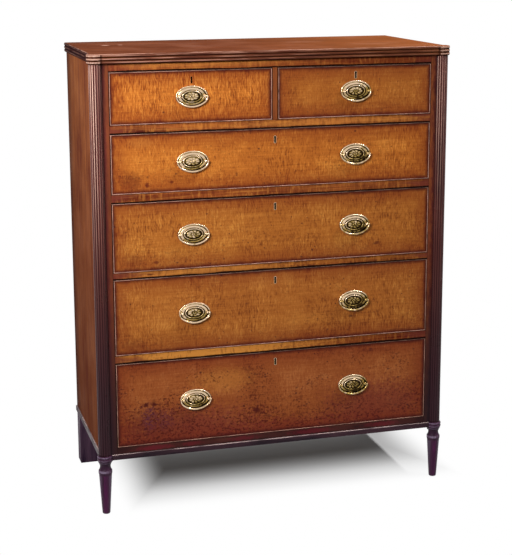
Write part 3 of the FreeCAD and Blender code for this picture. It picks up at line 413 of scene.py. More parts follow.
def shaded_rail_edges(wood, node, below, above, ends):
    """Painted shade along the gap at the lower edge of a rail and a painted shadow along its upper edge, as
    deep as below and above, and darker ends.
    """
    low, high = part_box(node)
    patchy = wood.noise((9.0, 1.0, 60.0), shift=(low.z, 0.0, 0.0)) - 0.5
    from_end = high.x - abs(wood.x) + patchy * 0.3
    wood.lay(ends, from_end.ease(0.0, 0.11, 0.8, 0.0))
    up = wood.z - low.z + patchy * (2.0 * below)
    # Painted shade in the gap along the lower edge, and a painted shadow along the upper edge
    from_bottom = up.ease(0.6 * below, 1.3 * below, 0.97, 0.0)
    from_top = (high.z - wood.z).ease(0.2 * above, 1.6 * above, 0.75, 0.0)
    wood.lay(SHADE_AND_GRIME, from_bottom.most(from_top))


# Depth of the painted shade along the lower edge of a rail, and of the painted shadow along its upper edge
RAIL_LOWER_SHADE = 3.4 * MM
RAIL_SHADOW = 1.2 * MM
TOP_RAIL_SHADOW = 2.0 * MM
BOTTOM_RAIL_LOWER_SHADE = 1.5 * MM
BOTTOM_RAIL_SHADOW = 1.0 * MM


def worn_and_shaded_rail(wood, node, colours):
    """The marks of use, the streaks, and the painted shade and shadow along the edges of a rail."""
    board_marks(wood, node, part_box(node), colours)
    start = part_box(node)[0].z
    streaks = wood.noise((5.0, 1.0, 190.0), 3.0, 0.6, 0.3, (start, 0.0, start))
    wood.lay(colours.front_edge, streaks.ease(0.54, 0.7, 0.0, 0.3))
    wood.lay(colours.front_light, streaks.ease(0.3, 0.48, 0.35, 0.0))
    ripple = wood.noise((120.0, 1.0, 30.0), 3.0, 0.6, 0.4, (start, 0.0, start))
    wood.lay(colours.front_edge, ripple.ease(0.52, 0.66, 0.0, 0.34))
    wood.lay(colours.front_light, ripple.ease(0.34, 0.48, 0.3, 0.0))
    shadow = TOP_RAIL_SHADOW if node == "top_rail" else RAIL_SHADOW
    shaded_rail_edges(wood, node, RAIL_LOWER_SHADE, shadow, colours.stile_light)


# How far down a moulding the painted highlight along its upper edge reaches, and how strong it is
ARRIS_DEPTH = 1.9 * MM
ARRIS_STRENGTH = 0.8


def arris_highlight(wood, top_z, tone, where=1.0):
    """A painted highlight along the upper edge of a moulding."""
    line = (top_z - wood.z).ease(0.5 * ARRIS_DEPTH, ARRIS_DEPTH, ARRIS_STRENGTH, 0.0)
    wood.lay(tone, line * wood.noise(14.0, 3.0).ease(0.35, 0.6, 0.2, 1.0) * where)


def soft_oval(across, up, half_width, half_height, ragged):
    """1 in the middle of a soft oval and 0 outside it, from the distances to its middle."""
    reach = straight(across * (1 / half_width), up * (1 / half_height)) + ragged
    return reach.ease(0.3, 1.05, 1.0, 0.0)


# Rubbed places on the top board: middle and half size along X and Y in metres, and strength
TOP_SCUFFS = [(-0.44, 0.09, 0.015, 0.02, 0.8), (-0.392, 0.095, 0.011, 0.016, 0.65),
              (-0.2, -0.02, 0.05, 0.02, 0.1), (0.18, 0.05, 0.09, 0.06, 0.08), (0.36, -0.1, 0.1, 0.05, 0.1)]


def top_face_light_and_scuffs(wood, colours):
    """The upper face of the top: lighter and warmer towards the right as painted light, with a few scuffs."""
    ragged = (wood.noise((70.0, 160.0, 1.0), 3.0, 0.65) - 0.5) * 1.4
    # Painted light: lighter and warmer towards the right
    wood.lay(colours.front_middle, wood.x.ease(-0.2, 0.5, 0.0, 0.22))
    for centre_x, centre_y, half_width, half_depth, strength in TOP_SCUFFS:
        mark = soft_oval(wood.x - centre_x, wood.y - centre_y, half_width, half_depth, ragged)
        wood.lay(colours.bead_highlight_and_wear, mark * strength)


# The dirty polish on the edge of the top, laid on more heavily towards the right as painted shade, how far
# its upper face reaches down, and how far outside the necks of the turrets the side edge is dark
EDGE_DIRT_AND_SHADE = hue("3A2024")
TOP_FACE_DEPTH = 0.4 * MM
SIDE_EDGE_OUT = 20.0 * MM


def reeded_edge(wood, count, neck_x, neck_y, colours):
    """The edge of the top: dirty polish with painted shade towards the right, painted shade in the grooves
    and at the necks, and painted highlights on the reeds, the turrets and the arris.

    count is the number of its reeds. neck_x and neck_y are where a turret meets the front edge and the
    side edge.
    """
    low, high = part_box("top_board")
    x, y, z = wood.x, wood.y, wood.z
    across = abs(x)
    from_crown = abs(((z - low.z) * (count / (high.z - low.z))).rest() - 0.5)
    on_edge = z < high.z - TOP_FACE_DEPTH
    patchy = wood.noise((11.0, 11.0, 200.0), 3.0)
    # Dirty polish, heavier towards the right as painted shade
    dirt_and_shade = patchy.ease(0.35, 0.65, 0.62, 0.2) * x.ease(-0.4, 0.3, 0.65, 1.0)
    wood.lay(EDGE_DIRT_AND_SHADE, dirt_and_shade * on_edge)
    # Painted highlights on the crowns of the reeds, stronger on the left
    crown_highlight = from_crown.ease(0.04, 0.22, 0.66, 0.0) * x.ease(-0.5, 0.3, 1.0, 0.35)
    wood.lay(colours.bead_highlight_and_wear, crown_highlight * on_edge * patchy.ease(0.4, 0.62))
    # Painted highlights on the reeds of the turrets
    turret_highlight = across.ease(neck_x + 1.0 * MM, neck_x + 5.0 * MM)
    turret_highlight *= y.ease(neck_y - 9.0 * MM, neck_y - 4.0 * MM, 1.0, 0.0)
    turret_highlight *= wood.noise((400.0, 400.0, 90.0)).ease(0.3, 0.6, 0.25, 1.0)
    turret_highlight *= from_crown.ease(0.1, 0.32, 0.66, 0.0)
    wood.lay(colours.column_highlight, turret_highlight * on_edge)
    # Painted shade in the grooves between the reeds
    wood.lay(SHADE_AND_GRIME, from_crown.ease(0.22, 0.47, 0.0, 0.8) * on_edge)
    at_side = y.ease(neck_y, neck_y + 12.0 * MM, 0.0, 0.6) * (across > neck_x + SIDE_EDGE_OUT)
    wood.lay(colours.moulding_deep, at_side * on_edge)
    # Painted shade at the necks of the turrets
    from_neck = abs(across - neck_x).least(abs(y - neck_y))
    wood.lay(SHADE_AND_GRIME, from_neck.ease(0.8 * MM, 5.5 * MM, 0.62, 0.0) * on_edge)
    # A painted highlight along the arris
    arris_highlight(wood, high.z - 0.25 * MM, colours.bead_highlight_and_wear, on_edge)


def dark_beside(wood, edges_x, width):
    """Painted shade in the gaps along upright edges at the given distances from the middle."""
    for edge in edges_x:
        wood.lay(SHADE_AND_GRIME, abs(abs(wood.x) - edge).ease(0.4 * width, width, 0.85, 0.0))


# Where a stile meets its column
COLUMN_EDGE_X = 511.0 * MM


def stile_tone_and_shade(wood, colours):
    """Patchy stiles, warm beside the drawers, with painted shade beside the columns and in the gaps at their
    edges, and darker towards the floor as painted shade.
    """
    across = abs(wood.x)
    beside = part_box("second_drawer_cockbead")[1].x
    patches = wood.noise((110.0, 110.0, 34.0), 3.0, 0.6).ease(0.42, 0.6)
    wood.lay(colours.rail_light, patches * wood.x.ease(-0.4, 0.4, 0.105, 0.35))
    wood.lay(colours.rail_light, across.ease(beside + 16.0 * MM, beside + 6.0 * MM, 0.0, 0.25))
    # Painted shade beside the columns
    wood.lay(colours.stile_deep, across.ease(beside + 11.0 * MM, beside + 20.0 * MM, 0.0, 0.75))
    # Darker towards the floor as painted shade
    wood.lay(colours.stile_deep, wood.z.ease(0.2, 1.3, 0.5, 0.0))
    wood.lay(colours.moulding_deep, wood.z.ease(0.2, 0.75, 0.8, 0.0))
    dark_beside(wood, [beside, COLUMN_EDGE_X], 2.6 * MM)


def darkened_side(wood, node, colours):
    """A side board, darker towards the floor as painted shade, and darker along its back and front edges."""
    low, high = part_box(node)
    # Darker towards the floor as painted shade
    wood.lay(colours.side_deep, wood.z.ease(0.2, 1.3, 0.45, 0.0))
    wood.lay(colours.moulding_deep, wood.y.ease(high.y - 110.0 * MM, high.y, 0.0, 0.6))
    wood.lay(colours.moulding_deep, wood.y.ease(low.y + 25.0 * MM, low.y, 0.0, 0.4))


# Painted highlights on the rings of a leg: height, half width and strength
LEG_RING_HIGHLIGHTS = [(0.1795, 0.0018, 0.75), (0.1695, 0.0018, 0.6), (0.162, 0.002, 0.4), (0.134, 0.0045, 0.75)]


def leg_polish_and_light(wood, axis, colours):
    """The old polish of a leg, redder down its front, with a painted sheen down its sides, painted shade in
    its neck and painted highlights on its rings, stronger on the left.
    """
    z = wood.z
    across = from_pair(wood, axis.x)
    from_heart = abs(across + 3.0 * MM)
    patchy = wood.noise((160.0, 160.0, 24.0), 3.0, 0.6)
    below = z.ease(0.118, 0.126, 1.0, 0.0)
    red = from_heart.ease(2.0 * MM, 9.0 * MM, 0.75, 0.0) * below
    wood.lay(colours.leg_heart, red * patchy.ease(0.36, 0.56, 0.4, 1.0))
    # Painted sheen down the sides
    wood.lay(colours.leg_sheen, from_heart.ease(8.0 * MM, 15.0 * MM, 0.0, 0.28) * below)
    # Painted shade in the neck under the ring
    wood.lay(colours.leg_deep, z.ease(0.134, 0.142) * z.ease(0.16, 0.168, 0.6, 0.0))
    # Painted highlights on the rings, stronger on the left
    ring_highlight = across.ease(-4.0 * MM, 10.0 * MM, 1.0, 0.25) * patchy.ease(0.34, 0.56, 0.35, 1.0)
    for height, half, strength in LEG_RING_HIGHLIGHTS:
        wood.lay(colours.leg_sheen, abs(z - height).ease(0.4 * half, half, strength, 0.0) * ring_highlight)


def column_shading(wood, axis, sizes, colours):
    """Painted shade in the grooves between the reeds and on the right of each column, painted highlights on
    the crowns, stronger on the left and higher up, and darker towards the floor as painted shade.
    """
    out, depth = sizes.column_radius, sizes.reed_height
    to_right = from_pair(wood, axis.x)
    radius = straight(to_right, wood.y - axis.y)
    # Painted highlights on the crowns, stronger on the left, higher up and on the left column
    crown_highlight = radius.ease(out - 0.15 * depth, out - 0.03 * depth, 0.0, 0.95)
    crown_highlight *= wood.noise((140.0, 140.0, 3.0)).ease(0.36, 0.58, 0.2, 1.0)
    crown_highlight *= to_right.ease(-12.0 * MM, 12.0 * MM, 1.0, 0.3)
    crown_highlight *= wood.x.ease(-0.5, 0.5, 1.0, 0.65)
    # Painted shade on the right of each column
    wood.lay(colours.column_deep, to_right.ease(-2.0 * MM, 16.0 * MM, 0.0, 0.5))
    wood.lay(colours.column_highlight, crown_highlight * wood.z.ease(0.6, 1.3, 0.25, 1.0))
    # Darker towards the floor as painted shade
    wood.lay(colours.column_deep, wood.z.ease(0.3, 1.3, 0.96, 0.0))
    wood.lay(colours.leg_deep, wood.z.ease(0.15, 0.8, 0.5, 0.0))
    # Painted shade in the grooves
    wood.lay(colours.column_groove_shade, radius.ease(out - depth, out - 0.3 * depth, 0.96, 0.0))


# How each drawer's veneer differs: a place in the figure, the strength of its vertical ripple, of its
# clouds and of its dark specks, and a tint, which is partly painted shade, darker on the right and lower
# drawers
VENEERS = {
    "upper_left": {"seed": (3.1, 0.0, 7.7), "ripple": 0.9, "clouds": 0.5, "specks": 0.05, "tint_and_shade": "FFF4E8"},
    "upper_right": {"seed": (9.4, 0.0, 1.9), "ripple": 0.5, "clouds": 0.4, "specks": 0.05, "tint_and_shade": "E8E4E4"},
    "second": {"seed": (15.2, 0.0, 4.3), "ripple": 0.55, "clouds": 0.9, "specks": 0.16, "tint_and_shade": "FCF4E8"},
    "third": {"seed": (21.7, 0.0, 12.1), "ripple": 0.6, "clouds": 0.7, "specks": 0.16, "tint_and_shade": "EEEEEE"},
    "fourth": {"seed": (28.3, 0.0, 18.6), "ripple": 0.55, "clouds": 0.7, "specks": 0.22, "tint_and_shade": "ECEAF2"},
    "bottom": {"seed": (34.9, 0.0, 25.2), "ripple": 0.3, "clouds": 0.9, "specks": 1.0, "tint_and_shade": "DCCAF4"},
}

# Marks of use on the rails and the drawer fronts, and a few of painted light and shadow on two rails:
# (across, up, half width, half height, strength, colour).
# The first four are shares of the piece's width and height, measured from its lower left corner.
MARKS = {
    # On the top rail the first mark is painted light against the shade under the top's overhang, and the
    # last, high on its right, a painted shadow of that overhang
    "top_rail": [(0.3, 0.6, 0.5, 1.4, 0.9, "rail_light"), (0.25, 0.8, 0.36, 0.9, 0.3, "front_light"),
                 (0.3, 0.1, 0.5, 0.5, 0.4, "front_stain"), (0.01, 0.5, 0.05, 1.4, 0.7, "front_stain"),
                 (0.87, 0.5, 0.5, 1.6, 0.4, "front_stain"), (0.7, 0.95, 0.4, 0.3, 0.3, "front_edge")],
    "drawer_rail_1": [(0.3, 0.6, 0.12, 0.3, 0.6, "front_middle"),
                      (0.52, 0.7, 0.05, 0.2, 0.6, "front_middle"),
                      (0.7, 0.5, 0.4, 0.6, 0.35, "front_light")],
    "drawer_rail_2": [(0.06, 0.5, 0.09, 0.6, 0.6, "front_edge"),
                      (0.42, 0.6, 0.1, 0.15, 0.35, "front_middle"),
                      (0.3, 0.5, 0.3, 0.9, 0.3, "front_stain")],
    "drawer_rail_3": [(0.3, 0.55, 0.38, 0.9, 0.45, "front_light"),
                      (0.7, 0.6, 0.4, 0.4, 0.45, "front_middle"),
                      (0.12, 0.45, 0.012, 0.25, 0.8, "front_edge"),
                      (0.02, 0.5, 0.03, 0.7, 0.5, "front_edge")],
    # On the fourth rail the first mark is painted light against the falling off of the lamp's light
    "drawer_rail_4": [(0.3, 0.55, 0.45, 1.3, 0.95, "front_light"),
                      (0.6, 0.6, 0.3, 0.3, 0.35, "front_middle"),
                      (0.05, 0.62, 0.045, 0.22, 0.75, "front_middle"),
                      (0.9, 0.42, 0.11, 0.1, 0.75, "front_edge"),
                      (0.85, 0.5, 0.25, 0.9, 0.35, "front_stain")],
    "bottom_rail": [(0.12, 0.45, 0.07, 0.5, 0.75, "wine"), (0.24, 0.5, 0.04, 0.4, 0.6, "wine"),
                    (0.4, 0.5, 0.06, 0.45, 0.55, "wine"), (0.62, 0.5, 0.09, 0.5, 0.6, "wine"),
                    (0.85, 0.5, 0.07, 0.5, 0.6, "wine")],
    "upper_left": [],
    "upper_right": [],
    "second": [(0.055, 0.2, 0.05, 0.2, 0.5, "front_edge"), (0.09, 0.86, 0.05, 0.12, 0.3, "front_light"),
               (0.108, 0.13, 0.008, 0.05, 0.8, "front_edge"), (0.18, 0.17, 0.01, 0.035, 0.8, "front_edge"),
               (0.38, 0.25, 0.006, 0.05, 0.5, "front_edge")],
    "third": [(0.44, 0.72, 0.07, 0.025, 0.3, "front_light"), (0.06, 0.15, 0.05, 0.15, 0.35, "front_edge"),
              (0.83, 0.2, 0.012, 0.04, 0.7, "front_edge"), (0.13, 0.12, 0.01, 0.03, 0.7, "front_edge")],
    "fourth": [(0.25, 0.1, 0.004, 0.2, 0.35, "front_edge"), (0.62, 0.3, 0.09, 0.1, 0.2, "front_light"),
               (0.05, 0.12, 0.05, 0.12, 0.35, "front_edge")],
    "bottom": [(0.2, 0.1, 0.36, 0.42, 0.55, "wine"), (0.84, 0.2, 0.24, 0.42, 0.5, "wine"),
               (0.55, 0.02, 0.3, 0.2, 0.4, "wine"), (0.1, 0.25, 0.1, 0.3, 0.3, "front_edge"),
               (0.1, 0.32, 0.028, 0.24, 0.85, "plum"), (0.15, 0.28, 0.035, 0.16, 0.6, "plum"),
               (0.09, 0.48, 0.011, 0.04, 0.95, "front_edge"),
               (0.115, 0.485, 0.012, 0.045, 0.95, "front_edge"),
               (0.25, 0.9, 0.004, 0.16, 0.35, "front_edge"), (0.44, 0.29, 0.014, 0.05, 0.85, "front_edge"),
               (0.33, 0.7, 0.12, 0.2, 0.3, "front_light")],
}


def edge_distance(wood, box):
    """Distance in metres from a drawer's nearest edge."""
    low, high = box
    from_sides = (wood.x - low.x).least(high.x - wood.x)
    return from_sides.least((wood.z - low.z).least(high.z - wood.z))


def oval_of_box(wood, box, oval, ragged):
    """A soft oval on a board: across, up, half width and half height, in shares of the board's box."""
    low, high = box
    width, height = high.x - low.x, high.z - low.z
    across, up, half_width, half_height = oval
    return soft_oval(wood.x - (low.x + across * width), wood.z - (low.z + up * height),
                     half_width * width, half_height * height, ragged)


def board_marks(wood, name, box, colours):
    """The stains and rubbed places of one board, and on two rails a little painted light and shadow. The
    purple spill lies in clumps.
    """
    ragged = (wood.noise((110.0, 1.0, 140.0), 3.0, 0.65) - 0.5) * 1.6
    clumps = wood.noise((150.0, 1.0, 190.0), 2.0, 0.6).ease(0.44, 0.58, 0.15, 1.0)
    for *oval, strength, tone in MARKS[name]:
        mark = oval_of_box(wood, box, oval, ragged) * strength
        wood.lay(getattr(colours, tone), mark * clumps if tone == "plum" else mark)


# Dark specks: cells a metre across and up, how many cells are filled, and their size in cells
SPECKS = [((120.0, 1.0, 120.0), 1.7, 0.26), ((60.0, 1.0, 70.0), 1.3, 0.2), ((24.0, 1.0, 30.0), 0.6, 0.15)]
# Where the specks of a drawer crowd together, as ovals: (across, up, half width, half height, how much)
CROWDS = {
    "bottom": [(0.13, 0.3, 0.14, 0.4, 0.34), (0.28, 0.1, 0.32, 0.3, 0.24), (0.75, 0.12, 0.3, 0.3, 0.1)],
    "second": [(0.07, 0.12, 0.1, 0.3, 0.25)],
    "third": [(0.1, 0.15, 0.14, 0.3, 0.12)],
}
# The share of cells that hold a speck stays between these
FEWEST_SPECKS = 0.0001
MOST_SPECKS = 0.3


def dark_specks(wood, drawer, box, colours):
    """Worm holes and ink spots of three sizes, thicker towards the lower edge, and fine dark flecks."""
    seed, amount = VENEERS[drawer]["seed"], VENEERS[drawer]["specks"]
    crowded = wood.noise((9.0, 1.0, 14.0), shift=seed[::-1]) - 0.42
    crowded += wood.z.ease(box[0].z, box[1].z, 0.16, 0.0)
    uneven = (wood.noise((40.0, 1.0, 40.0), 3.0, 0.6, 0.0, seed) - 0.5) * 1.2
    for *oval, much in CROWDS.get(drawer, []):
        crowded += oval_of_box(wood, box, oval, uneven) * much
    ragged = (wood.noise((420.0, 1.0, 420.0), shift=seed) - 0.5) * 0.35
    for cells, filled, size in SPECKS:
        from_spot, chance = wood.spots(cells, seed)
        limit = (crowded * (filled * amount)).most(FEWEST_SPECKS).least(MOST_SPECKS)
        speck = (from_spot + ragged).ease(0.4 * size, 1.5 * size, 1.0, 0.0) * (chance < limit)
        wood.lay(colours.speck, speck * (chance / limit).ease(0.0, 1.0, 0.8, 0.12))
    fleck = wood.noise((125.0, 1.0, 155.0), 3.0, 0.65, 0.0, seed).ease(0.52, 0.6)
    wood.lay(colours.front_edge, fleck * crowded.ease(0.0, 0.38, 0.1 * amount, 0.2 + 0.55 * amount))
    tick = wood.noise((300.0, 1.0, 130.0), shift=seed[::-1])
    wood.lay(colours.speck, tick.ease(0.69, 0.74, 0.0, 0.75))


def figured_wood(drawer, colours):
    """Veneer with a vertical ripple across its grain, darker along the edges of the drawer."""
    veneer = VENEERS[drawer]
    seed = veneer["seed"]
    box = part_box(f"{drawer}_drawer_front")
    wood = Recipe(f"{drawer}_veneer", 0.36, 0.1)
    bent = wood.moved(wood.noise((20.0, 1.0, 22.0), shift=seed) * 0.018, 0.0)
    clouds = wood.noise((5.0, 1.0, 8.0), 4.0, 0.6, 0.5, seed)
    bands = wood.noise((17.0, 1.0, 3.5), 2.0, 0.5, 0.3, seed)
    mottle = wood.noise((60.0, 1.0, 45.0), 3.0, 0.6, 0.0, seed, bent)
    ripple = wood.noise((310.0, 1.0, 44.0), 1.0, 0.5, 0.0, seed, bent)
    hair = wood.noise((640.0, 1.0, 110.0), 2.0, 0.6, 0.0, seed, bent)
    grain = wood.noise((9.0, 1.0, 230.0), 3.0, 0.6, 0.0, seed)
    where_rippled = wood.noise((8.0, 1.0, 10.0), shift=seed[::-1]).ease(0.35, 0.62, 0.3, 1.0)
    tone = (clouds - 0.5) * (0.9 * veneer["clouds"]) + 0.5
    tone += (bands - 0.5) * 0.35
    tone += (mottle - 0.5) * 0.3
    tone += (ripple - 0.5) * where_rippled * (1.9 * veneer["ripple"])
    tone += (hair - 0.5) * (0.5 + 0.6 * veneer["ripple"])
    tone += (grain - 0.5) * 0.55
    wood.ramp(tone, [(0.12, colours.front_deep), (0.48, colours.front_middle), (0.86, colours.front_light)])
    # The tint, partly painted shade
    wood.lay(hue(veneer["tint_and_shade"]), 1.0, "MULTIPLY")
    board_marks(wood, drawer, box, colours)
    distance = edge_distance(wood, box)
    wavy = distance - wood.noise((45.0, 1.0, 45.0), 3.0, 0.6, 0.0, seed) * 0.01
    wood.lay(colours.front_stain, wavy.ease(0.0, 0.06, 0.5, 0.0))
    wood.lay(colours.front_edge, wavy.ease(-3.0 * MM, 11.0 * MM, 0.94, 0.0))
    wood.lay(colours.bead_deep, distance.ease(1.0 * MM, 4.5 * MM, 0.85, 0.0))
    dark_specks(wood, drawer, box, colours)
    wood.bump(grain * 0.6 + ripple, 0.00012, 0.35)
    wood.polish(clouds.ease(0.3, 0.7, 0.42, 0.3))
    return wood


def bead_wood(drawer, colours):
    """The cockbead: dark, with a painted highlight along its crown, painted shade at its outer edge, dirt and
    painted shade along its top, and there a fainter painted highlight, brighter to the left.
    """
    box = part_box(f"{drawer}_drawer_cockbead")
    wood = plain_wood(f"{drawer}_bead", colours.rail_deep, colours.bead_deep, "X", 83.0, 0.45, 0.01, 0.6, 0.1)
    distance = edge_distance(wood, box)
    from_top = box[1].z - wood.z
    patchy = wood.noise(30.0, 3.0, shift=VENEERS[drawer]["seed"])
    # Painted highlight along the crown
    crown_highlight = distance.ease(0.6 * MM, 1.0 * MM) * distance.ease(2.2 * MM, 2.8 * MM, 1.0, 0.0)
    wood.lay(colours.bead_highlight_and_wear, crown_highlight * patchy.ease(0.35, 0.6, 0.5, 1.0))
    # Painted shade in the gap at the outer edge
    wood.lay(SHADE_AND_GRIME, distance.ease(0.2 * MM, 0.9 * MM, 0.9, 0.0))
    # Dirt and painted shade along the top bead, under the rail
    wood.lay(SHADE_AND_GRIME, from_top.ease(1.9 * MM, 3.2 * MM, 0.95, 0.0))
    # A fainter painted highlight on the top bead, brighter to the left
    on_line = from_top.ease(0.8 * MM, 1.2 * MM) * from_top.ease(2.4 * MM, 2.9 * MM, 1.0, 0.0)
    along_line = patchy.ease(0.3, 0.6, 0.3, 1.0) * wood.x.ease(-0.45, 0.0, 0.95, 0.45)
    wood.lay(colours.bead_highlight_and_wear, on_line * along_line)
    return wood


# Thickness of a drawer's side, and a hair more
LINING_SIDE = 11.05 * MM


def lining_wood(drawer, colours):
    """Pale secondary wood of a drawer: grain runs back along its sides and across elsewhere."""
    low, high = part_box(f"{drawer}_drawer_box")
    seed = VENEERS[drawer]["seed"]
    wood = Recipe(f"{drawer}_lining", 0.62, 0.15)
    in_side = (wood.x - low.x).least(high.x - wood.x) < LINING_SIDE
    lengthwise = wood.noise(along("Y", 90.0), 4.0, 0.6, 0.5, seed)
    crosswise = wood.noise(along("X", 70.0), 4.0, 0.6, 0.8, seed)
    figure = in_side * (lengthwise - crosswise) + crosswise
    wood.ramp(figure, [(0.3, colours.lining_deep), (0.7, colours.lining_light)])
    dust = wood.noise(6.0, 4.0, 0.6, 0.0, seed)
    wood.lay(colours.inner_deep, dust.ease(0.4, 0.75, 0.0, 0.4))
    wood.bump(figure, 0.0003, 0.5)
    return wood


BACK_BOARD_COUNT = 6
NAIL_FROM_MIDDLE = 518.0 * MM
NAIL_FROM_BOARD_MIDDLE = 62.0 * MM
NAIL_RADIUS = 2.4 * MM
NAIL_TONE = (0.02, 0.014, 0.01)
RUST_RADIUS = 11.0 * MM


def back_wood(colours):
    """Rough boards across the back, each of its own tone, dark at the joints and nailed at the ends."""
    low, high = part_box("back_boards")
    wood = Recipe("back_wood", 0.8, 0.03)
    pitch = (high.z - low.z) / BACK_BOARD_COUNT
    boards_up = (wood.z - low.z) * (1 / pitch)
    number = boards_up.whole()
    chance = wood.add("ShaderNodeTexWhiteNoise", {"W": number + 5.5}, noise_dimensions="1D")
    place = wood.moved(number * 3.7, number * 9.1)
    grain = wood.noise((3.0, 70.0, 70.0), 4.0, 0.62, 1.2, where=place)
    saw = wood.noise((260.0, 20.0, 6.0), where=place)
    tone = (grain - 0.5) * 1.5 + 0.45
    tone += (Value(wood, chance.outputs["Value"]) - 0.5) * 0.35
    tone += (saw - 0.5) * 0.25
    wood.ramp(tone, [(0.1, colours.inner_deep), (0.9, colours.inner_light)])
    wood.lay(colours.inner_deep, wood.noise(5.0, 4.0, 0.6).ease(0.45, 0.7, 0.0, 0.45))
    from_middle = abs(boards_up.rest() - 0.5)
    wood.lay(SHADE_AND_GRIME, ((0.5 - from_middle) * pitch).ease(0.5 * MM, 5.0 * MM, 0.85, 0.0))
    from_nail = straight(abs(wood.x) - NAIL_FROM_MIDDLE, from_middle * pitch - NAIL_FROM_BOARD_MIDDLE)
    wood.lay(colours.rust, from_nail.ease(NAIL_RADIUS + 0.6 * MM, RUST_RADIUS, 0.5, 0.0))
    wood.lay(NAIL_TONE, from_nail.ease(NAIL_RADIUS, NAIL_RADIUS + 0.8 * MM, 0.95, 0.0))
    wood.bump(grain + saw * 0.5, 0.0008, 0.6)
    return wood


PULL_FROM_MIDDLE = 250.0 * MM


def old_brass(name, middle_z, sizes, colours, roughness=0.32):
    """Lacquered brass, bright where it stands out, with painted highlights towards the upper left of each
    plate and painted shade towards the right and the floor, and tarnished in the hollows.

    middle_z is the height of the middle of the plates.
    """
    brass = Recipe(name, roughness, 0.5, 1.0)
    height = DRAWER_FACE_Y - brass.y
    up = (brass.z - middle_z) * (1 / sizes.plate_half_height)
    up *= abs(up).ease(1.0, 1.1, 1.0, 0.0)
    across = from_pair(brass, PULL_FROM_MIDDLE) * (0.45 / sizes.plate_half_width)
    rubbed_and_lit = height.ease(1.6 * MM, 3.0 * MM)
    # Painted highlight towards the upper left of each plate, painted shade towards its lower right
    rubbed_and_lit += (up - across - 0.1) * height.ease(3.4 * MM, 4.2 * MM, 0.66, 0.0)
    # Painted shade towards the right and towards the floor
    rubbed_and_lit -= brass.x.ease(-0.25, 0.25, 0.0, 0.26)
    rubbed_and_lit -= brass.z.ease(0.3, 1.25, 0.18, 0.0)
    rubbed_and_lit += (brass.noise(75.0) - 0.5) * 1.4
    clouds = brass.noise(160.0, 4.0, 0.65)
    rubbed_and_lit += (clouds - 0.5) * 1.2
    brass.ramp(rubbed_and_lit, [(0.0, colours.brass_deep), (0.45, colours.brass_middle), (0.95, colours.brass_light)])
    grime_and_shade = brass.noise(900.0, 2.0, 0.6)
    brass.lay(colours.brass_deep, grime_and_shade.ease(0.55, 0.75, 0.0, 0.4))
    brass.bump(clouds + grime_and_shade * 0.4, 0.00015, 0.6)
    brass.polish(rubbed_and_lit.ease(0.1, 0.9, roughness + 0.16, roughness - 0.06))
    return brass


def liner_brass(colours):
    """The thin brass of the keyholes, dull and even."""
    brass = Recipe("liner_brass", 0.45, 0.5, 1.0)
    clouds = brass.noise(400.0, 3.0, 0.6)
    brass.ramp(clouds, [(0.3, colours.brass_middle), (0.55, colours.brass_light)])
    brass.bump(clouds, 0.0001, 0.5)
    return brass


def keyhole_painted_shade(colours):
    """Painted shade: the dark inside of a keyhole."""
    grime_and_shade = Recipe("keyhole_painted_shade", 0.8, 0.01, base=SHADE_AND_GRIME)
    grime_and_shade.lay(colours.brass_deep * 0.4, grime_and_shade.noise(500.0))
    return grime_and_shade


def dark_iron(name, colours):
    """Old iron with a little rust."""
    iron = Recipe(name, 0.5, 0.5, 0.85, base=colours.iron)
    clouds = iron.noise(130.0, 5.0, 0.65)
    stained = clouds.ease(0.48, 0.68)
    iron.lay(colours.rust, stained)
    iron.bump(clouds + iron.noise((1200.0, 300.0, 90.0)) * 0.5, 0.0002, 0.5)
    iron.polish(stained.ease(0.0, 1.0, 0.38, 0.75))
    return iron


# Shapes

def sweep(first, last, steps):
    """Even steps from the first angle or length to the last one, both included."""
    return [first + (last - first) * step / steps for step in range(steps + 1)]


def circle(steps):
    """The cosine and sine of each step round a full turn."""
    return [(math.cos(angle), math.sin(angle)) for angle in sweep(0.0, 2 * math.pi, steps)[:-1]]


class Shape:
    """The points and faces of a piece while it is being made."""

    def __init__(self):
        self.points = []
        self.faces = []
        self.kinds = []

    def skin(self, rings, closed_ends=True, kind=0):
        """Faces between rings of points that all have the same number of points."""
        count = len(rings[0])
        start = len(self.points)
        for ring in rings:
            self.points += [Vector(point) for point in ring]
        for row in range(len(rings) - 1):
            for step in range(count):
                a = start + row * count + step
                b = start + row * count + (step + 1) % count
                self.face((a, b, b + count, a + count), kind)
        if closed_ends:
            self.face(tuple(range(start, start + count)), kind)
            last = start + (len(rings) - 1) * count
            self.face(tuple(range(last, last + count)), kind)

    def face(self, corners, kind=0):
        self.faces.append(corners)
        self.kinds.append(kind)

    def turned(self, centre, profile, axis, steps):
        """A turned solid from (distance along the axis, radius) pairs. axis is X or Y."""
        rings = []
        for reach, radius in profile:
            if axis == "X":
                ring = [(reach, radius * u, radius * v) for u, v in circle(steps)]
            else:
                ring = [(radius * u, reach, radius * v) for u, v in circle(steps)]
            rings.append([centre + Vector(point) for point in ring])
        self.skin(rings)


def piece(name, shape, materials, body, replaced, sharp_angle=35.0):
    """Makes the mesh, joins its doubled points, shades it and hangs it on its body."""
    mesh = bpy.data.meshes.new(name)
    mesh.from_pydata(shape.points, [], shape.faces)
    mesh.polygons.foreach_set("material_index", shape.kinds)
    made = bmesh.new()
    made.from_mesh(mesh)
    bmesh.ops.remove_doubles(made, verts=made.verts, dist=1e-7)
    bmesh.ops.recalc_face_normals(made, faces=made.faces)
    made.to_mesh(mesh)
    made.free()
    mesh.polygons.foreach_set("use_smooth", [True] * len(mesh.polygons))
    mesh.set_sharp_from_angle(angle=math.radians(sharp_angle))
    for recipe in materials:
        mesh.materials.append(recipe.material)
    thing = bpy.data.objects.new(name, mesh)
    bpy.context.scene.collection.objects.link(thing)
    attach(thing, body)
    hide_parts(*replaced)


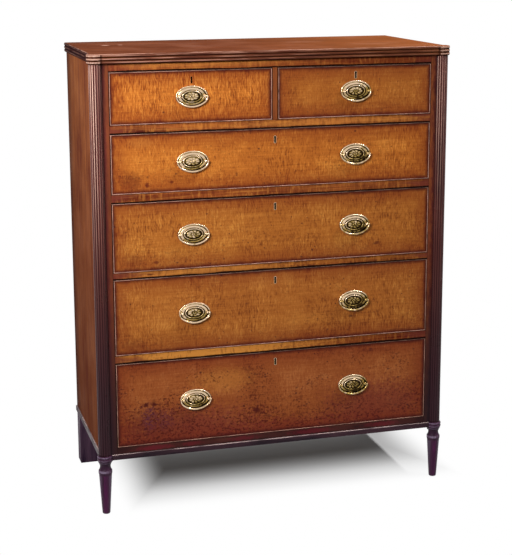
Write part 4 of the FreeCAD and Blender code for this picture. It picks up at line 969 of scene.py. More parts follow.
def dress(node, recipe):
    """Gives a node of the frame its finish."""
    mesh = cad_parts[node].data
    mesh.materials.clear()
    mesh.materials.append(recipe.material)


# The front posts and the top

def post_section(axis, radius, z, sizes, reeding):
    """One ring of a corner post. reeding goes from 0, round, to 1, fully reeded."""
    groove = sizes.column_radius - sizes.reed_height
    half = math.pi / sizes.reed_count
    chord = groove * math.sin(half)
    foot = groove * math.cos(half)
    rise = sizes.column_radius - foot
    bow = (chord ** 2 + rise ** 2) / (2 * rise)
    centre_out = sizes.column_radius - bow
    ring = []
    for step in range(sizes.reed_count * sizes.reed_facets):
        angle = 2 * half * step / sizes.reed_facets
        off = (angle % (2 * half)) - half
        reach = centre_out * math.cos(off) + math.sqrt(bow ** 2 - (centre_out * math.sin(off)) ** 2)
        r = radius + (reach - sizes.column_radius) * reeding
        ring.append((axis.x + r * math.cos(angle), axis.y + r * math.sin(angle), z))
    return ring


# The turned part of a corner post below its reeds: (height, radius) in millimetres, from the floor up
LEG_PROFILE = [
    (0.0, 8.8), (0.6, 10.4), (1.8, 11.4), (3.0, 11.8), (20.0, 13.0), (45.0, 14.5), (75.0, 16.3),
    (105.0, 18.1), (122.0, 19.1), (125.4, 19.3), (126.0, 19.4), (126.3, 19.9), (127.2, 20.25), (129.0, 20.5),
    (132.0, 20.6), (135.0, 20.5), (136.8, 20.2), (137.7, 19.8), (138.0, 19.2), (139.6, 18.3), (142.0, 17.3),
    (145.0, 16.4), (148.0, 15.9), (150.0, 15.8), (152.0, 16.1), (155.0, 17.0), (158.0, 18.3), (161.0, 19.8),
    (164.0, 21.1), (166.4, 21.7), (167.0, 21.9), (168.0, 22.4), (169.5, 22.75), (171.5, 22.8), (173.0, 22.6),
    (174.0, 21.9), (174.6, 21.5), (175.4, 21.5), (176.0, 21.9), (177.0, 22.6), (178.6, 22.8), (180.0, 22.7),
    (181.6, 22.1), (182.6, 21.0), (183.0, 19.6),
]

# How far along its rounded end a reed is drawn, and how much of its height it loses there
REED_END_STEPS = [0.0, 0.25, 0.5, 0.75, 1.0]
REED_END_DROP = 0.6


# The number of the leg's wood among the materials of a post, after that of the column
LEG = 1


def corner_post(node, sizes, materials):
    """A reeded column turned in one with its leg. materials are those of the column and the leg."""
    low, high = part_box(node)
    axis = (low + high) / 2
    rings = [post_section(axis, radius * MM, height * MM, sizes, 0.0) for height, radius in LEG_PROFILE]
    leg_rings = len(rings)
    ends = [(part, CASE_BOTTOM_Z + sizes.reed_end * part) for part in REED_END_STEPS]
    ends += [(part, CASE_TOP_Z - sizes.reed_end * part) for part in reversed(REED_END_STEPS)]
    for part, z in ends:
        drop = sizes.reed_height * (1 - math.sqrt(part)) * REED_END_DROP
        rings.append(post_section(axis, sizes.column_radius - drop, z, sizes, 1.0))
    shape = Shape()
    shape.skin(rings)
    for index in range(len(rings[0]) * (leg_rings - 1)):
        shape.kinds[index] = LEG
    shape.kinds[-2] = LEG
    piece(f"{node}_turned", shape, materials, "case", [node], 40.0)


TURRET_STEPS = 44
TOP_REED_STEPS = 10


def top_outline(inset, sizes, low, high):
    """The outline of the top board, drawn in by inset from the crowns of its reeds."""
    radius = sizes.turret_radius - inset
    axis_x, axis_y = high.x - sizes.turret_radius, low.y + sizes.turret_radius
    edge_x = SIDE_FACE_X + sizes.side_overhang - inset
    from_front = axis_y - (DRAWER_FACE_Y - sizes.front_overhang + inset)
    first = math.asin(from_front / radius) - math.pi
    last = math.acos((edge_x - axis_x) / radius)
    corner = [(axis_x + radius * math.cos(angle), axis_y + radius * math.sin(angle))
              for angle in sweep(first, last, TURRET_STEPS)]
    corner.append((edge_x, high.y))
    return [(-x, y) for x, y in reversed(corner)] + corner


def moulded_top(sizes, material):
    """The top board with reeds worked along its front, its ends and round its turrets."""
    low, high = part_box("top_board")
    pitch = (high.z - low.z) / sizes.top_reed_count
    half = pitch / 2
    bow = (half ** 2 + sizes.top_reed_depth ** 2) / (2 * sizes.top_reed_depth)
    rings = []
    for reed in range(sizes.top_reed_count):
        for up in sweep(0.0, pitch, TOP_REED_STEPS):
            inset = bow - math.sqrt(max(bow ** 2 - (up - half) ** 2, 0.0))
            z = low.z + reed * pitch + up
            rings.append([(x, y, z) for x, y in top_outline(inset, sizes, low, high)])
    shape = Shape()
    shape.skin(rings)
    piece("top_board_moulded", shape, [material], "case", ["top_board"], 30.0)


# Brasses

OVAL_STEPS = 2000


def oval_angles(half_width, half_height, count):
    """Angles that divide an oval into steps of equal length."""
    marks = [0.0]
    for step in range(OVAL_STEPS):
        angle = 2 * math.pi * (step + 0.5) / OVAL_STEPS
        marks.append(marks[-1] + math.hypot(half_width * math.sin(angle), half_height * math.cos(angle)))
    angles = []
    at = 0
    for number in range(count):
        target = marks[-1] * number / count
        while marks[at + 1] < target:
            at += 1
        part = (target - marks[at]) / (marks[at + 1] - marks[at])
        angles.append(2 * math.pi * (at + part) / OVAL_STEPS)
    return angles


# The hollow field, the bed of the flower and the flower of a plate, from the outside in: each ring has its
# share of the way in and a height in millimetres, and in the flower also a turn of the petals and their
# depth in millimetres
FIELD = [(0.03, -0.2), (0.13, -0.1), (0.22, 0.8), (0.36, 1.6), (0.52, 1.8), (0.68, 1.5), (0.78, 0.8),
         (0.86, -0.1), (0.97, -0.2)]
BED = [(0.04, 0.0), (0.25, 0.3), (0.5, 0.4), (0.75, 0.3), (0.97, 0.0)]
FLOWER = [(1.0, 0.3, 0.0, 0.0), (0.95, 0.9, 0.1, 0.5), (0.86, 1.5, 0.25, 1.0), (0.74, 1.7, 0.5, 1.3),
          (0.6, 1.7, 0.85, 1.3), (0.48, 1.4, 1.2, 1.0), (0.38, 0.8, 1.5, 0.4), (0.34, 0.4, 1.6, 0.0),
          (0.3, 0.9, 1.6, 0.0), (0.24, 1.4, 1.6, 0.0), (0.16, 1.4, 1.6, 0.0), (0.12, 0.8, 1.6, 0.0),
          (0.06, 0.3, 1.6, 0.0)]
RIM_STEPS = 8
RING_STEPS = 6
# Height of the rim's upright side in its radii, how far its strands lean, and the relief and the lift of
# the inner ring
RIM_SIDE = 0.7
STRAND_LEAN = 1.1
RING_RELIEF = 0.4
RING_LIFT = 0.8 * MM


def plate_levels(brass):
    """The rings of a pressed plate from its back edge to its middle.

    Each is (half width, half height, height, rope relief, turn, petal relief).
    """
    levels = []

    def ring(half_width, half_height, height, rope=0.0, turn=0.0, petal=0.0):
        levels.append((half_width, half_height, height, rope, turn, petal))

    a, b, rim = brass.plate_half_width, brass.plate_half_height, brass.rim_width / 2
    ring(a, b, 0.0)
    ring(a, b, rim * RIM_SIDE)
    for phi in sweep(0.0, math.pi, RIM_STEPS):
        draw_in = rim * (1 - math.cos(phi))
        ring(a - draw_in, b - draw_in, rim * (1.0 + math.sin(phi)),
             brass.rope_relief * math.sin(phi) ** 0.5, phi * STRAND_LEAN)
    a, b = a - brass.rim_width, b - brass.rim_width
    ring_a, ring_b = brass.ring_half_width, brass.ring_half_height
    floor = brass.plate_thickness
    for part, lift in FIELD:
        ring(a + (ring_a - a) * part, b + (ring_b - b) * part, floor + lift * MM)
    half_ring = brass.ring_width / 2
    for phi in sweep(0.0, math.pi, RING_STEPS):
        draw_in = half_ring * (1 - math.cos(phi))
        ring(ring_a - draw_in, ring_b - draw_in, floor + RING_LIFT + half_ring * math.sin(phi),
             brass.rope_relief * RING_RELIEF * math.sin(phi), phi)
    a, b = ring_a - brass.ring_width, ring_b - brass.ring_width
    flower_a, flower_b = brass.patera_half_width, brass.patera_half_height
    for part, lift in BED:
        ring(a + (flower_a - a) * part, b + (flower_b - b) * part, floor + lift * MM)
    for part, lift, turn, petal in FLOWER:
        ring(flower_a * part, flower_b * part, floor + lift * MM, 0.0, turn, petal * MM)
    return levels


PLATE_STEPS = 288


def press_plate(shape, centre, brass):
    """One oval back plate: rope rim, hollow field, inner ring and a flower in the middle."""
    angles = oval_angles(brass.plate_half_width - brass.rim_width / 2,
                         brass.plate_half_height - brass.rim_width / 2, PLATE_STEPS)
    rings = []
    for half_width, half_height, height, rope, turn, petal in plate_levels(brass):
        ring = []
        for step, angle in enumerate(angles):
            twist = math.cos(2 * math.pi * brass.rope_turns * step / PLATE_STEPS + turn * 2)
            leaf = abs(math.cos(brass.petals * angle / 2 + turn)) - 1.0
            out = height + rope * (twist - 1.0) + petal * leaf
            ring.append(centre + Vector((half_width * math.cos(angle), -out, half_height * math.sin(angle))))
        rings.append(ring)
    shape.skin(rings)


# A post and what holds it, as (distance from the drawer face or from the back of the front, radius) in
# millimetres: the collar in front of the plate, the shank and the six-sided nut. The ball head is drawn
# through its angles.
POST_STEPS = 28
SHANK_STEPS = 20
NUT_SIDES = 6
COLLAR = [(-0.9, 4.6), (-1.6, 4.6), (-2.1, 4.2), (-2.4, 3.5), (-2.9, 3.0), (-3.4, 3.1)]
BALL_ANGLES = [-52, -38, -22, -6, 10, 26, 42, 58, 72, 84]
SHANK = [(-1.0, 2.5), (5.0, 2.5), (5.5, 2.0)]
NUT = [(0.0, 5.2), (3.0, 5.2), (3.5, 4.5)]


def in_metres(profile, start=0.0):
    """A profile given in millimetres, moved along its axis."""
    return [(start + reach * MM, radius * MM) for reach, radius in profile]


def turn_post(shape, foot, brass):
    """A ball-headed post on its collar, with its shank and nut behind the drawer front."""
    profile = in_metres(COLLAR)
    for angle in BALL_ANGLES:
        around = math.radians(angle)
        profile.append((-brass.pivot_out - brass.post_radius * math.sin(around),
                        brass.post_radius * math.cos(around)))
    shape.turned(foot, profile, "Y", POST_STEPS)
    behind = DRAWER_BACK_Y - DRAWER_FACE_Y
    shape.turned(foot, in_metres(SHANK, behind), "Y", SHANK_STEPS)
    shape.turned(foot, in_metres(NUT, behind), "Y", NUT_SIDES)


# A keyhole: the radius of its round top and how far that is over the middle, and its slot
KEYHOLE_RADIUS = 3.0 * MM
KEYHOLE_RISE = 7.0 * MM
KEYHOLE_HALF_SLOT = 2.3 * MM
KEYHOLE_DROP = 10.0 * MM
KEYHOLE_STEPS = 24


def keyhole_outline(centre, shrink, y):
    """A keyhole: a round top over a narrower slot."""
    radius = KEYHOLE_RADIUS - shrink
    half_slot = KEYHOLE_HALF_SLOT - shrink
    bottom = centre.z - KEYHOLE_DROP + shrink
    start = math.acos(half_slot / radius)
    points = [(centre.x + radius * math.cos(angle), y, centre.z + KEYHOLE_RISE + radius * math.sin(angle))
              for angle in sweep(-start, math.pi + start, KEYHOLE_STEPS)]
    for out, up in ((-1.0, 0.5), (-0.5, 0.0), (0.5, 0.0), (1.0, 0.5)):
        points.append((centre.x + half_slot * out, y, bottom + half_slot * up))
    return points


# How far a keyhole's liner stands out of the wood, its thickness and how deep it goes
LINER_OUT = 0.25 * MM
LINER_THICKNESS = 0.6 * MM
LINER_DEPTH = 4.0 * MM
SOFT_EDGE = 0.1 * MM
# The numbers of the liner and of the painted shade inside the keyhole among the materials of the brasses,
# after that of the plates
LINER = 1
INSIDE = 2


def line_keyhole(shape, centre, lip):
    """The thin brass liner of a keyhole, with a lip round its front, and painted shade on its inside, its
    floor and the inner part of its lip.
    """
    front = DRAWER_FACE_Y - LINER_OUT
    back = DRAWER_FACE_Y + LINER_DEPTH
    rows = [keyhole_outline(centre, shrink, y) for shrink, y in (
        (LINER_THICKNESS, front + SOFT_EDGE), (LINER_THICKNESS, back), (0.0, back), (0.0, DRAWER_FACE_Y),
        (-lip, DRAWER_FACE_Y), (-lip, front + SOFT_EDGE), (SOFT_EDGE - lip, front), (-0.3 * lip, front),
        (LINER_THICKNESS - SOFT_EDGE, front), (LINER_THICKNESS, front + SOFT_EDGE))]
    count = len(rows[0])
    start = len(shape.points)
    shape.skin(rows, False, LINER)
    first = len(shape.kinds) - (len(rows) - 1) * count
    shape.kinds[first:first + 2 * count] = [INSIDE] * (2 * count)
    shape.kinds[-2 * count:] = [INSIDE] * (2 * count)
    shape.face(tuple(range(start + count, start + 2 * count)), INSIDE)


def rectangle(centre_x, half, y0, y1, z):
    x0, x1 = centre_x - half, centre_x + half
    return [(x0, y0, z), (x1, y0, z), (x1, y1, z), (x0, y1, z)]


# A lock case on the back of a drawer front: how far it is let in, half its width, its height, its rounded
# edges, the pocket for its bolt and the heads of its screws, which are 19 mm to each side of its middle
LOCK_DEPTH = 10.0 * MM
LOCK_HALF = 25.0 * MM
LOCK_HEIGHT = 46.0 * MM
LOCK_SOFT = 0.6 * MM
POCKET_HALF = 8.1 * MM
POCKET_FRONT = 2.4 * MM
POCKET_BACK = 7.6 * MM
POCKET_DEPTH = 18.4 * MM
SCREW_OUT = 19.0 * MM
SCREW_HEIGHTS = (-7.0 * MM, -39.0 * MM)
SCREW_HEAD = [(-0.2, 3.4), (0.3, 3.3), (0.8, 2.4), (1.0, 1.0)]
SCREW_STEPS = 18


def fit_lock(shape, centre_x, top):
    """The lock case with the pocket that its bolt slides in, and the screws that hold it."""
    front, back = DRAWER_BACK_Y - LOCK_DEPTH, DRAWER_BACK_Y
    bottom, soft = top - LOCK_HEIGHT, LOCK_SOFT
    pocket = (centre_x, POCKET_HALF, front + POCKET_FRONT, front + POCKET_BACK)
    shape.skin([
        rectangle(centre_x, LOCK_HALF - soft, front + soft, back - soft, bottom),
        rectangle(centre_x, LOCK_HALF, front, back, bottom + soft),
        rectangle(centre_x, LOCK_HALF, front, back, top - soft),
        rectangle(centre_x, LOCK_HALF - soft, front + soft, back - soft, top),
        rectangle(*pocket, top),
        rectangle(*pocket, top - POCKET_DEPTH),
    ])
    for x in (-SCREW_OUT, SCREW_OUT):
        for z in SCREW_HEIGHTS:
            shape.turned(Vector((centre_x + x, back, top + z)), in_metres(SCREW_HEAD), "Y", SCREW_STEPS)


def pull_height(drawer):
    """The height of the middle of a drawer's pulls."""
    low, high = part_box(f"{drawer}_drawer_front")
    return (low.z + high.z) / 2


def pulls_of(drawer):
    """The pulls of a drawer: node of the bail, its body and the middle of the pull on the drawer face."""
    found = []
    for side in [""] if drawer in SMALL_DRAWERS else ["left_", "right_"]:
        node = f"{drawer}_drawer_{side}bail"
        low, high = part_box(node)
        centre = Vector(((low.x + high.x) / 2, DRAWER_FACE_Y, pull_height(drawer)))
        found.append((node, f"{drawer}_{side}bail", centre))
    return found


# The keyhole under the upper edge of a small and of a long drawer, and the lip of its liner. One liner has
# lost its lip.
SMALL_KEYHOLE_DROP = 28.0 * MM
LONG_KEYHOLE_DROP = 33.0 * MM
LINER_LIP = 1.3 * MM
WORN_LIP = 0.15 * MM


def drawer_fittings(drawer, brass, metals, iron):
    """Plates, posts, nuts, keyhole liner and lock of one drawer.

    metals are the brass of the plates, the brass of the liner and the painted shade inside the keyhole.
    """
    shape = Shape()
    for node, body, centre in pulls_of(drawer):
        press_plate(shape, centre, brass)
        for side in (-1, 1):
            turn_post(shape, centre + Vector((side * brass.post_spacing / 2, 0.0, 0.0)), brass)
    low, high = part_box(f"{drawer}_drawer_bolt")
    keyhole_x = (low.x + high.x) / 2
    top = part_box(f"{drawer}_drawer_front")[1].z
    drop = SMALL_KEYHOLE_DROP if drawer in SMALL_DRAWERS else LONG_KEYHOLE_DROP
    lip = WORN_LIP if drawer == "upper_left" else LINER_LIP
    line_keyhole(shape, Vector((keyhole_x, DRAWER_FACE_Y, top - drop)), lip)
    node, body = f"{drawer}_drawer_brasses", f"{drawer}_drawer"
    piece(f"{drawer}_brasses", shape, metals, body, [node])
    lock = Shape()
    fit_lock(lock, keyhole_x, top)
    piece(f"{drawer}_lock", lock, [iron], body, [node])


BAIL_STEPS = 20
BEND_STEPS = 12
BAR_STEPS = 36
KNUCKLE_RADIUS = 2.6 * MM
KNUCKLE_ANGLES = range(10, 180, 16)
PIN_RADIUS = 1.5 * MM
PIN_TIP_RADIUS = 1.2 * MM
PIN_INTO_POST = 3.5 * MM
PIN_TAPER = 0.97
PIN_STEPS = 16


def bail_path(brass):
    """The middle line of a bail in its own plane: half an oval hanging from its pivots."""
    corner_x = brass.bail_half_width - brass.bail_corner
    extra = brass.bail_drop - brass.bail_corner
    centre_z = (corner_x ** 2 - extra ** 2) / (2 * extra)
    foot_radius = centre_z + brass.bail_drop
    meet = math.atan2(centre_z, corner_x)
    bend = [(-corner_x - brass.bail_corner * math.cos(angle), -brass.bail_corner * math.sin(angle))
            for angle in sweep(0.0, meet, BEND_STEPS)[:-1]]
    bar = [(-foot_radius * math.cos(angle), centre_z - foot_radius * math.sin(angle))
           for angle in sweep(meet, math.pi - meet, BAR_STEPS)]
    return bend + bar + [(-x, z) for x, z in reversed(bend)]


def swung_bail(node, body, centre, brass, material):
    """A hanging handle: a swelled bar with knuckles at its ends and pins turned in to its posts."""
    pivot = centre + Vector((0.0, -brass.pivot_out, 0.0))
    path = bail_path(brass)
    thin, thick = brass.bail_end_thickness / 2, brass.bail_thickness / 2
    rings = []
    last = len(path) - 1
    for index, (x, z) in enumerate(path):
        before, after = path[max(index - 1, 0)], path[min(index + 1, last)]
        run = Vector((after[0] - before[0], 0.0, after[1] - before[1])).normalized()
        across = Vector((run.z, 0.0, -run.x))
        radius = thin + (thick - thin) * math.sin(math.pi * index / last) ** 2
        middle = pivot + Vector((x, 0.0, z))
        outwards = Vector((0.0, radius, 0.0))
        rings.append([middle + across * radius * u + outwards * v for u, v in circle(BAIL_STEPS)])
    shape = Shape()
    shape.skin(rings)
    around = [math.radians(angle) for angle in KNUCKLE_ANGLES]
    knuckle = [(-KNUCKLE_RADIUS * math.cos(angle), KNUCKLE_RADIUS * math.sin(angle)) for angle in around]
    for side in (-1, 1):
        end = pivot + Vector((side * brass.bail_half_width, 0.0, 0.0))
        shape.turned(end, knuckle, "X", BAIL_STEPS)
        inwards = side * (brass.post_spacing / 2 + brass.post_radius - PIN_INTO_POST - brass.bail_half_width)
        pin = [(0.0, PIN_RADIUS), (inwards * PIN_TAPER, PIN_RADIUS), (inwards, PIN_TIP_RADIUS)]
        shape.turned(end, pin, "X", PIN_STEPS)
    piece(f"{node}_bar", shape, [material], body, [node])


def dress_front(colours):
    """The woods of the rails, the stiles and the divider."""
    rail = (colours.rail_light, colours.rail_deep)
    for number, node in enumerate(RAILS):
        wood = plain_wood(f"{node}_wood", *rail, "X", 2.3 * number, 0.5, 0.03)
        worn_and_shaded_rail(wood, node, colours)
        dress(node, wood)
    wood = plain_wood("bottom_rail_wood", colours.base_light, colours.base_deep, "X", 13.0)
    board_marks(wood, "bottom_rail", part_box("bottom_rail"), colours)
    shaded_rail_edges(wood, "bottom_rail", BOTTOM_RAIL_LOWER_SHADE, BOTTOM_RAIL_SHADOW, colours.base_deep)
    dress("bottom_rail", wood)
    wood = plain_wood("stile_wood", colours.stile_light, colours.stile_deep, "Z", 17.0)
    stile_tone_and_shade(wood, colours)
    dress("stiles", wood)
    wood = plain_wood("divider_wood", *rail, "Z", 19.0)
    dark_beside(wood, [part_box("centre_divider")[1].x], 2.4 * MM)
    dress("centre_divider", wood)


def dress_sides(colours):
    """The woods of the side boards, the rear feet and the base moulding."""
    side = (colours.side_light, colours.side_deep)
    foot = (colours.foot_light, colours.foot_deep)
    for number, hand in enumerate(["left", "right"]):
        wood = plain_wood(f"{hand}_side_wood", *side, "Z", 31.0 + number, 0.5, 0.001)
        darkened_side(wood, f"{hand}_side", colours)
        dress(f"{hand}_side", wood)
        wood = plain_wood(f"{hand}_rear_foot_wood", *foot, "Z", 35.0 + number, 0.5, 0.05)
        dress(f"{hand}_rear_foot", wood)
    wood = plain_wood("base_wood", colours.moulding_light, colours.moulding_deep, "X", 23.0)
    arris_highlight(wood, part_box("base_moulding")[1].z, colours.moulding_arris_highlight)
    dress("base_moulding", wood)


# The plain strips inside the case: node, name of the wood, grain and place in the figure
INNER_STRIPS = [("drawer_runners", "runner_wood", "Y", 43.0), ("drawer_stops", "stop_wood", "X", 47.0),
                ("glue_blocks", "block_wood", "Y", 53.0)]


# Operators, one for each piece or group of like pieces

class CHEST_OT_case(bpy.types.Operator):
    """Give the boards, rails and stiles of the case their woods"""
    bl_idname = "chest.case"
    bl_label = "Case woods"

    def execute(self, context):
        colours = context.scene.chest_colours
        dress_front(colours)
        dress_sides(colours)
        dress("back_boards", back_wood(colours))
        for node, name, grain, seed in INNER_STRIPS:
            wood = plain_wood(name, colours.inner_light, colours.inner_deep, grain, seed, 0.75, 0.1)
            dress(node, wood)
        return {"FINISHED"}


class CHEST_OT_top(bpy.types.Operator):
    """Work the top board with its reeded edge and turrets"""
    bl_idname = "chest.top"
    bl_label = "Top board"

    def execute(self, context):
        turning, colours = context.scene.chest_turning, context.scene.chest_colours
        low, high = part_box("top_board")
        radius = turning.turret_radius
        axis_x, axis_y = high.x - radius, low.y + radius
        into_front = axis_y - (DRAWER_FACE_Y - turning.front_overhang)
        into_side = SIDE_FACE_X + turning.side_overhang - axis_x
        neck_x = axis_x - math.sqrt(radius ** 2 - into_front ** 2)
        neck_y = axis_y + math.sqrt(radius ** 2 - into_side ** 2)
        wood = plain_wood("top_wood", colours.top_light, colours.top_deep, "X", 61.0, 0.4, 0.0003)
        top_face_light_and_scuffs(wood, colours)
        reeded_edge(wood, turning.top_reed_count, neck_x, neck_y, colours)
        moulded_top(turning, wood)
        return {"FINISHED"}


class CHEST_OT_posts(bpy.types.Operator):
    """Turn the two corner posts, each a reeded column and its leg"""
    bl_idname = "chest.posts"
    bl_label = "Corner posts"

    def execute(self, context):
        turning, colours = context.scene.chest_turning, context.scene.chest_colours
        low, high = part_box("right_front_post")
        axis = (low + high) / 2
        column = plain_wood("column_wood", colours.column_light, colours.column_deep, "Z", 71.0, 0.28, 0.16)
        column_shading(column, axis, turning, colours)
        leg = plain_wood("leg_wood", colours.leg_light, colours.leg_deep, "Z", 73.0, 0.34, 0.12)
        leg_polish_and_light(leg, axis, colours)
        for node in ("left_front_post", "right_front_post"):
            corner_post(node, turning, [column, leg])
        return {"FINISHED"}


class CHEST_OT_drawers(bpy.types.Operator):
    """Veneer the drawer fronts and give the beads, linings and bolts their finish"""
    bl_idname = "chest.drawers"
    bl_label = "Drawers"

    def execute(self, context):
        colours = context.scene.chest_colours
        iron = dark_iron("bolt_iron", colours)
        for drawer in DRAWERS:
            dress(f"{drawer}_drawer_front", figured_wood(drawer, colours))
            dress(f"{drawer}_drawer_cockbead", bead_wood(drawer, colours))
            dress(f"{drawer}_drawer_box", lining_wood(drawer, colours))
            dress(f"{drawer}_drawer_bolt", iron)
        return {"FINISHED"}


class CHEST_OT_brasses(bpy.types.Operator):
    """Press the plates, turn the posts and fit the keyholes and locks"""
    bl_idname = "chest.brasses"
    bl_label = "Plates and locks"

    def execute(self, context):
        brass, colours = context.scene.chest_brass, context.scene.chest_colours
        iron = dark_iron("lock_iron_finish", colours)
        liner = liner_brass(colours)
        grime_and_shade = keyhole_painted_shade(colours)
        for drawer in DRAWERS:
            plate = old_brass(f"{drawer}_plate_brass", pull_height(drawer), brass, colours)
            drawer_fittings(drawer, brass, [plate, liner, grime_and_shade], iron)
        return {"FINISHED"}


class CHEST_OT_bails(bpy.types.Operator):
    """Bend the ten bails"""
    bl_idname = "chest.bails"
    bl_label = "Bails"

    def execute(self, context):
        brass, colours = context.scene.chest_brass, context.scene.chest_colours
        for drawer in DRAWERS:
            metal = old_brass(f"{drawer}_bail_brass", pull_height(drawer), brass, colours, 0.26)
            for node, body, centre in pulls_of(drawer):
                swung_bail(node, body, centre, brass, metal)
        return {"FINISHED"}


# The studio

WHITE = (1.0, 1.0, 1.0)


def seen_directly(nodes):
    """1 for the camera and for what reflects or lets light through, 0 for light that is thrown back."""
    seen = nodes.add("ShaderNodeLightPath").outputs
    reflected = nodes.maths("MAXIMUM", seen["Is Glossy Ray"], seen["Is Transmission Ray"])
    return reflected.most(seen["Is Camera Ray"])


# How far inside the chest's outline the floor's white glow starts at its left and front, as painted light
# that lightens the shadow there, how far outside it at its right, and how fast the glow comes in towards the
# left and the front
FADE_IN_LEFT = 0.15
FADE_IN_FRONT = 0.11
FADE_OUT_RIGHT = 0.02
FADE_LEFT = 0.8
FADE_FRONT = 0.45


def floor_material(studio):
    """A pale floor that keeps the shadow under the chest and is white further away; its white glow reaches
    into the chest's outline as painted light that lightens that shadow.
    """
    material = bpy.data.materials.new("floor_paper")
    floor = Nodes(material)
    low, high = CAD_BOX
    x, y = floor.axes(floor.add("ShaderNodeTexCoord").outputs["Object"])[:2]
    out_x = ((low.x + FADE_IN_LEFT - x) * FADE_LEFT).most(x - (high.x + FADE_OUT_RIGHT))
    out_y = ((low.y + FADE_IN_FRONT - y) * FADE_FRONT).most(y - high.y)
    fade = out_x.most(out_y).ease(-0.1, 0.06)
    seen = seen_directly(floor)
    paper = floor.mix(seen, [studio.floor_bounce] * 3, [studio.floor_tone] * 3)
    diffuse = floor.add("ShaderNodeBsdfDiffuse", {"Color": paper})
    glow = floor.add("ShaderNodeEmission", {"Color": WHITE, "Strength": 1.0})
    blend = floor.add("ShaderNodeMixShader", {0: fade * seen, 1: diffuse.outputs[0], 2: glow.outputs[0]})
    floor.add("ShaderNodeOutputMaterial", {"Surface": blend.outputs[0]})
    return material


FLOOR_REACH = 80.0


def lay_floor(studio):
    """A wide flat floor under the chest."""
    mesh = bpy.data.meshes.new("studio_floor")
    corners = [(x * FLOOR_REACH, y * FLOOR_REACH, 0.0) for x, y in ((-1, -1), (1, -1), (1, 1), (-1, 1))]
    mesh.from_pydata(corners, [], [(0, 1, 2, 3)])
    mesh.materials.append(floor_material(studio))
    floor = bpy.data.objects.new("studio_floor", mesh)
    bpy.context.scene.collection.objects.link(floor)


def hang_lamp(name, place, aim, width, depth, power, spread=180.0):
    """A rectangular soft lamp at a place, aimed at a point. Its depth lies along the Y axis of the room."""
    lamp = bpy.data.lights.new(name, "AREA")
    lamp.shape = "RECTANGLE"
    lamp.size = width
    lamp.size_y = depth
    lamp.energy = power
    lamp.spread = math.radians(spread)
    holder = bpy.data.objects.new(name, lamp)
    back = (Vector(place) - Vector(aim)).normalized()
    across = Vector((0.0, 1.0, 0.0)).cross(back).normalized()
    turned = Matrix((across, back.cross(across), back)).transposed().to_4x4()
    holder.matrix_world = Matrix.Translation(place) @ turned
    holder.visible_camera = False
    bpy.context.scene.collection.objects.link(holder)


def light_room(studio):
    """A room that looks white, and that fills the shadows softly with more light from behind."""
    world = bpy.data.worlds.new("studio_room")
    bpy.context.scene.world = world
    room = Nodes(world)
    y = room.axes(room.add("ShaderNodeTexCoord").outputs["Generated"])[1]
    level = y.ease(0.1, 0.8, studio.fill_level, studio.back_level)
    strength = room.add("ShaderNodeMapRange", {0: seen_directly(room), 3: level, 4: 1.0}).outputs[0]
    glow = room.add("ShaderNodeBackground", {"Color": WHITE, "Strength": strength})
    room.add("ShaderNodeOutputWorld", {"Surface": glow.outputs[0]})


# Where the camera stands, its turn to the side, its tilt down and its roll in degrees, and its shift
CAMERA_PLACE = (-1.15828, -4.08548, 1.66499)
CAMERA_YAW = 15.97
CAMERA_TILT = 11.35
CAMERA_ROLL = 0.21
CAMERA_SHIFT = -0.1


def set_camera(studio):
    """The camera, a little to the left and above, with a small downward shift."""
    camera = bpy.data.cameras.new("chest_camera")
    camera.lens = studio.lens
    camera.sensor_width = 36.0
    camera.sensor_fit = "AUTO"
    camera.shift_y = CAMERA_SHIFT
    camera.clip_end = 200.0
    holder = bpy.data.objects.new("chest_camera", camera)
    aim = Euler((math.radians(90.0 - CAMERA_TILT), 0.0, math.radians(-CAMERA_YAW)), "XYZ").to_matrix()
    roll = Matrix.Rotation(math.radians(-CAMERA_ROLL), 4, "Z")
    holder.matrix_world = Matrix.Translation(CAMERA_PLACE) @ aim.to_4x4() @ roll
    bpy.context.scene.collection.objects.link(holder)
    bpy.context.scene.camera = holder


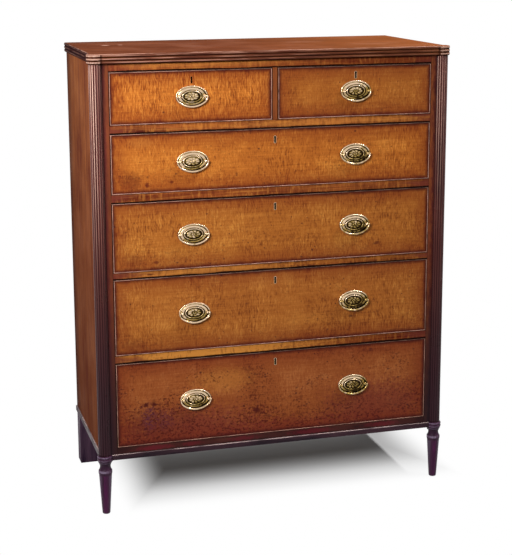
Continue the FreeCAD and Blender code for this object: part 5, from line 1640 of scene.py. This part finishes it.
# Each lamp: its place, the point that it is aimed at, and its width and depth
KEY_LAMP = ((-1.9, -1.95, 2.1), (-0.45, -0.25, 1.25), 0.8, 0.8)
KEY_SPREAD = 80.0
OVERHEAD_LAMP = ((2.5, -0.7, 4.2), (0.2, -0.2, 0.3), 0.25, 1.7)


class CHEST_OT_studio(bpy.types.Operator):
    """Set up the floor, the lamps, the room and the camera"""
    bl_idname = "chest.studio"
    bl_label = "Studio"

    def execute(self, context):
        studio = context.scene.chest_studio
        lay_floor(studio)
        hang_lamp("key_lamp", *KEY_LAMP, studio.key_power, KEY_SPREAD)
        hang_lamp("overhead_lamp", *OVERHEAD_LAMP, studio.overhead_power)
        light_room(studio)
        set_camera(studio)
        context.scene.view_settings.view_transform = "Standard"
        return {"FINISHED"}


class CHEST_PT_workshop(bpy.types.Panel):
    """The steps of dressing the chest"""
    bl_idname = "CHEST_PT_workshop"
    bl_label = "Tall chest of drawers"
    bl_space_type = "VIEW_3D"
    bl_region_type = "UI"
    bl_category = "Chest"

    def draw(self, context):
        for step in STEPS:
            self.layout.operator(step.bl_idname)


STEPS = [CHEST_OT_case, CHEST_OT_top, CHEST_OT_posts, CHEST_OT_drawers, CHEST_OT_brasses, CHEST_OT_bails,
         CHEST_OT_studio]
GROUPS = {"chest_turning": ChestTurning, "chest_brass": ChestBrass, "chest_colours": ChestColours,
          "chest_studio": ChestStudio}


def register():
    for group in GROUPS.values():
        bpy.utils.register_class(group)
    for name, group in GROUPS.items():
        setattr(bpy.types.Scene, name, bpy.props.PointerProperty(type=group))
    for step in STEPS + [CHEST_PT_workshop]:
        bpy.utils.register_class(step)


def unregister():
    for step in [CHEST_PT_workshop] + STEPS[::-1]:
        bpy.utils.unregister_class(step)
    for name, group in GROUPS.items():
        delattr(bpy.types.Scene, name)
        bpy.utils.unregister_class(group)


def main():
    register()
    bpy.ops.chest.case()
    bpy.ops.chest.top()
    bpy.ops.chest.posts()
    bpy.ops.chest.drawers()
    bpy.ops.chest.brasses()
    bpy.ops.chest.bails()
    bpy.ops.chest.studio()


if __name__ == "__main__":
    main()
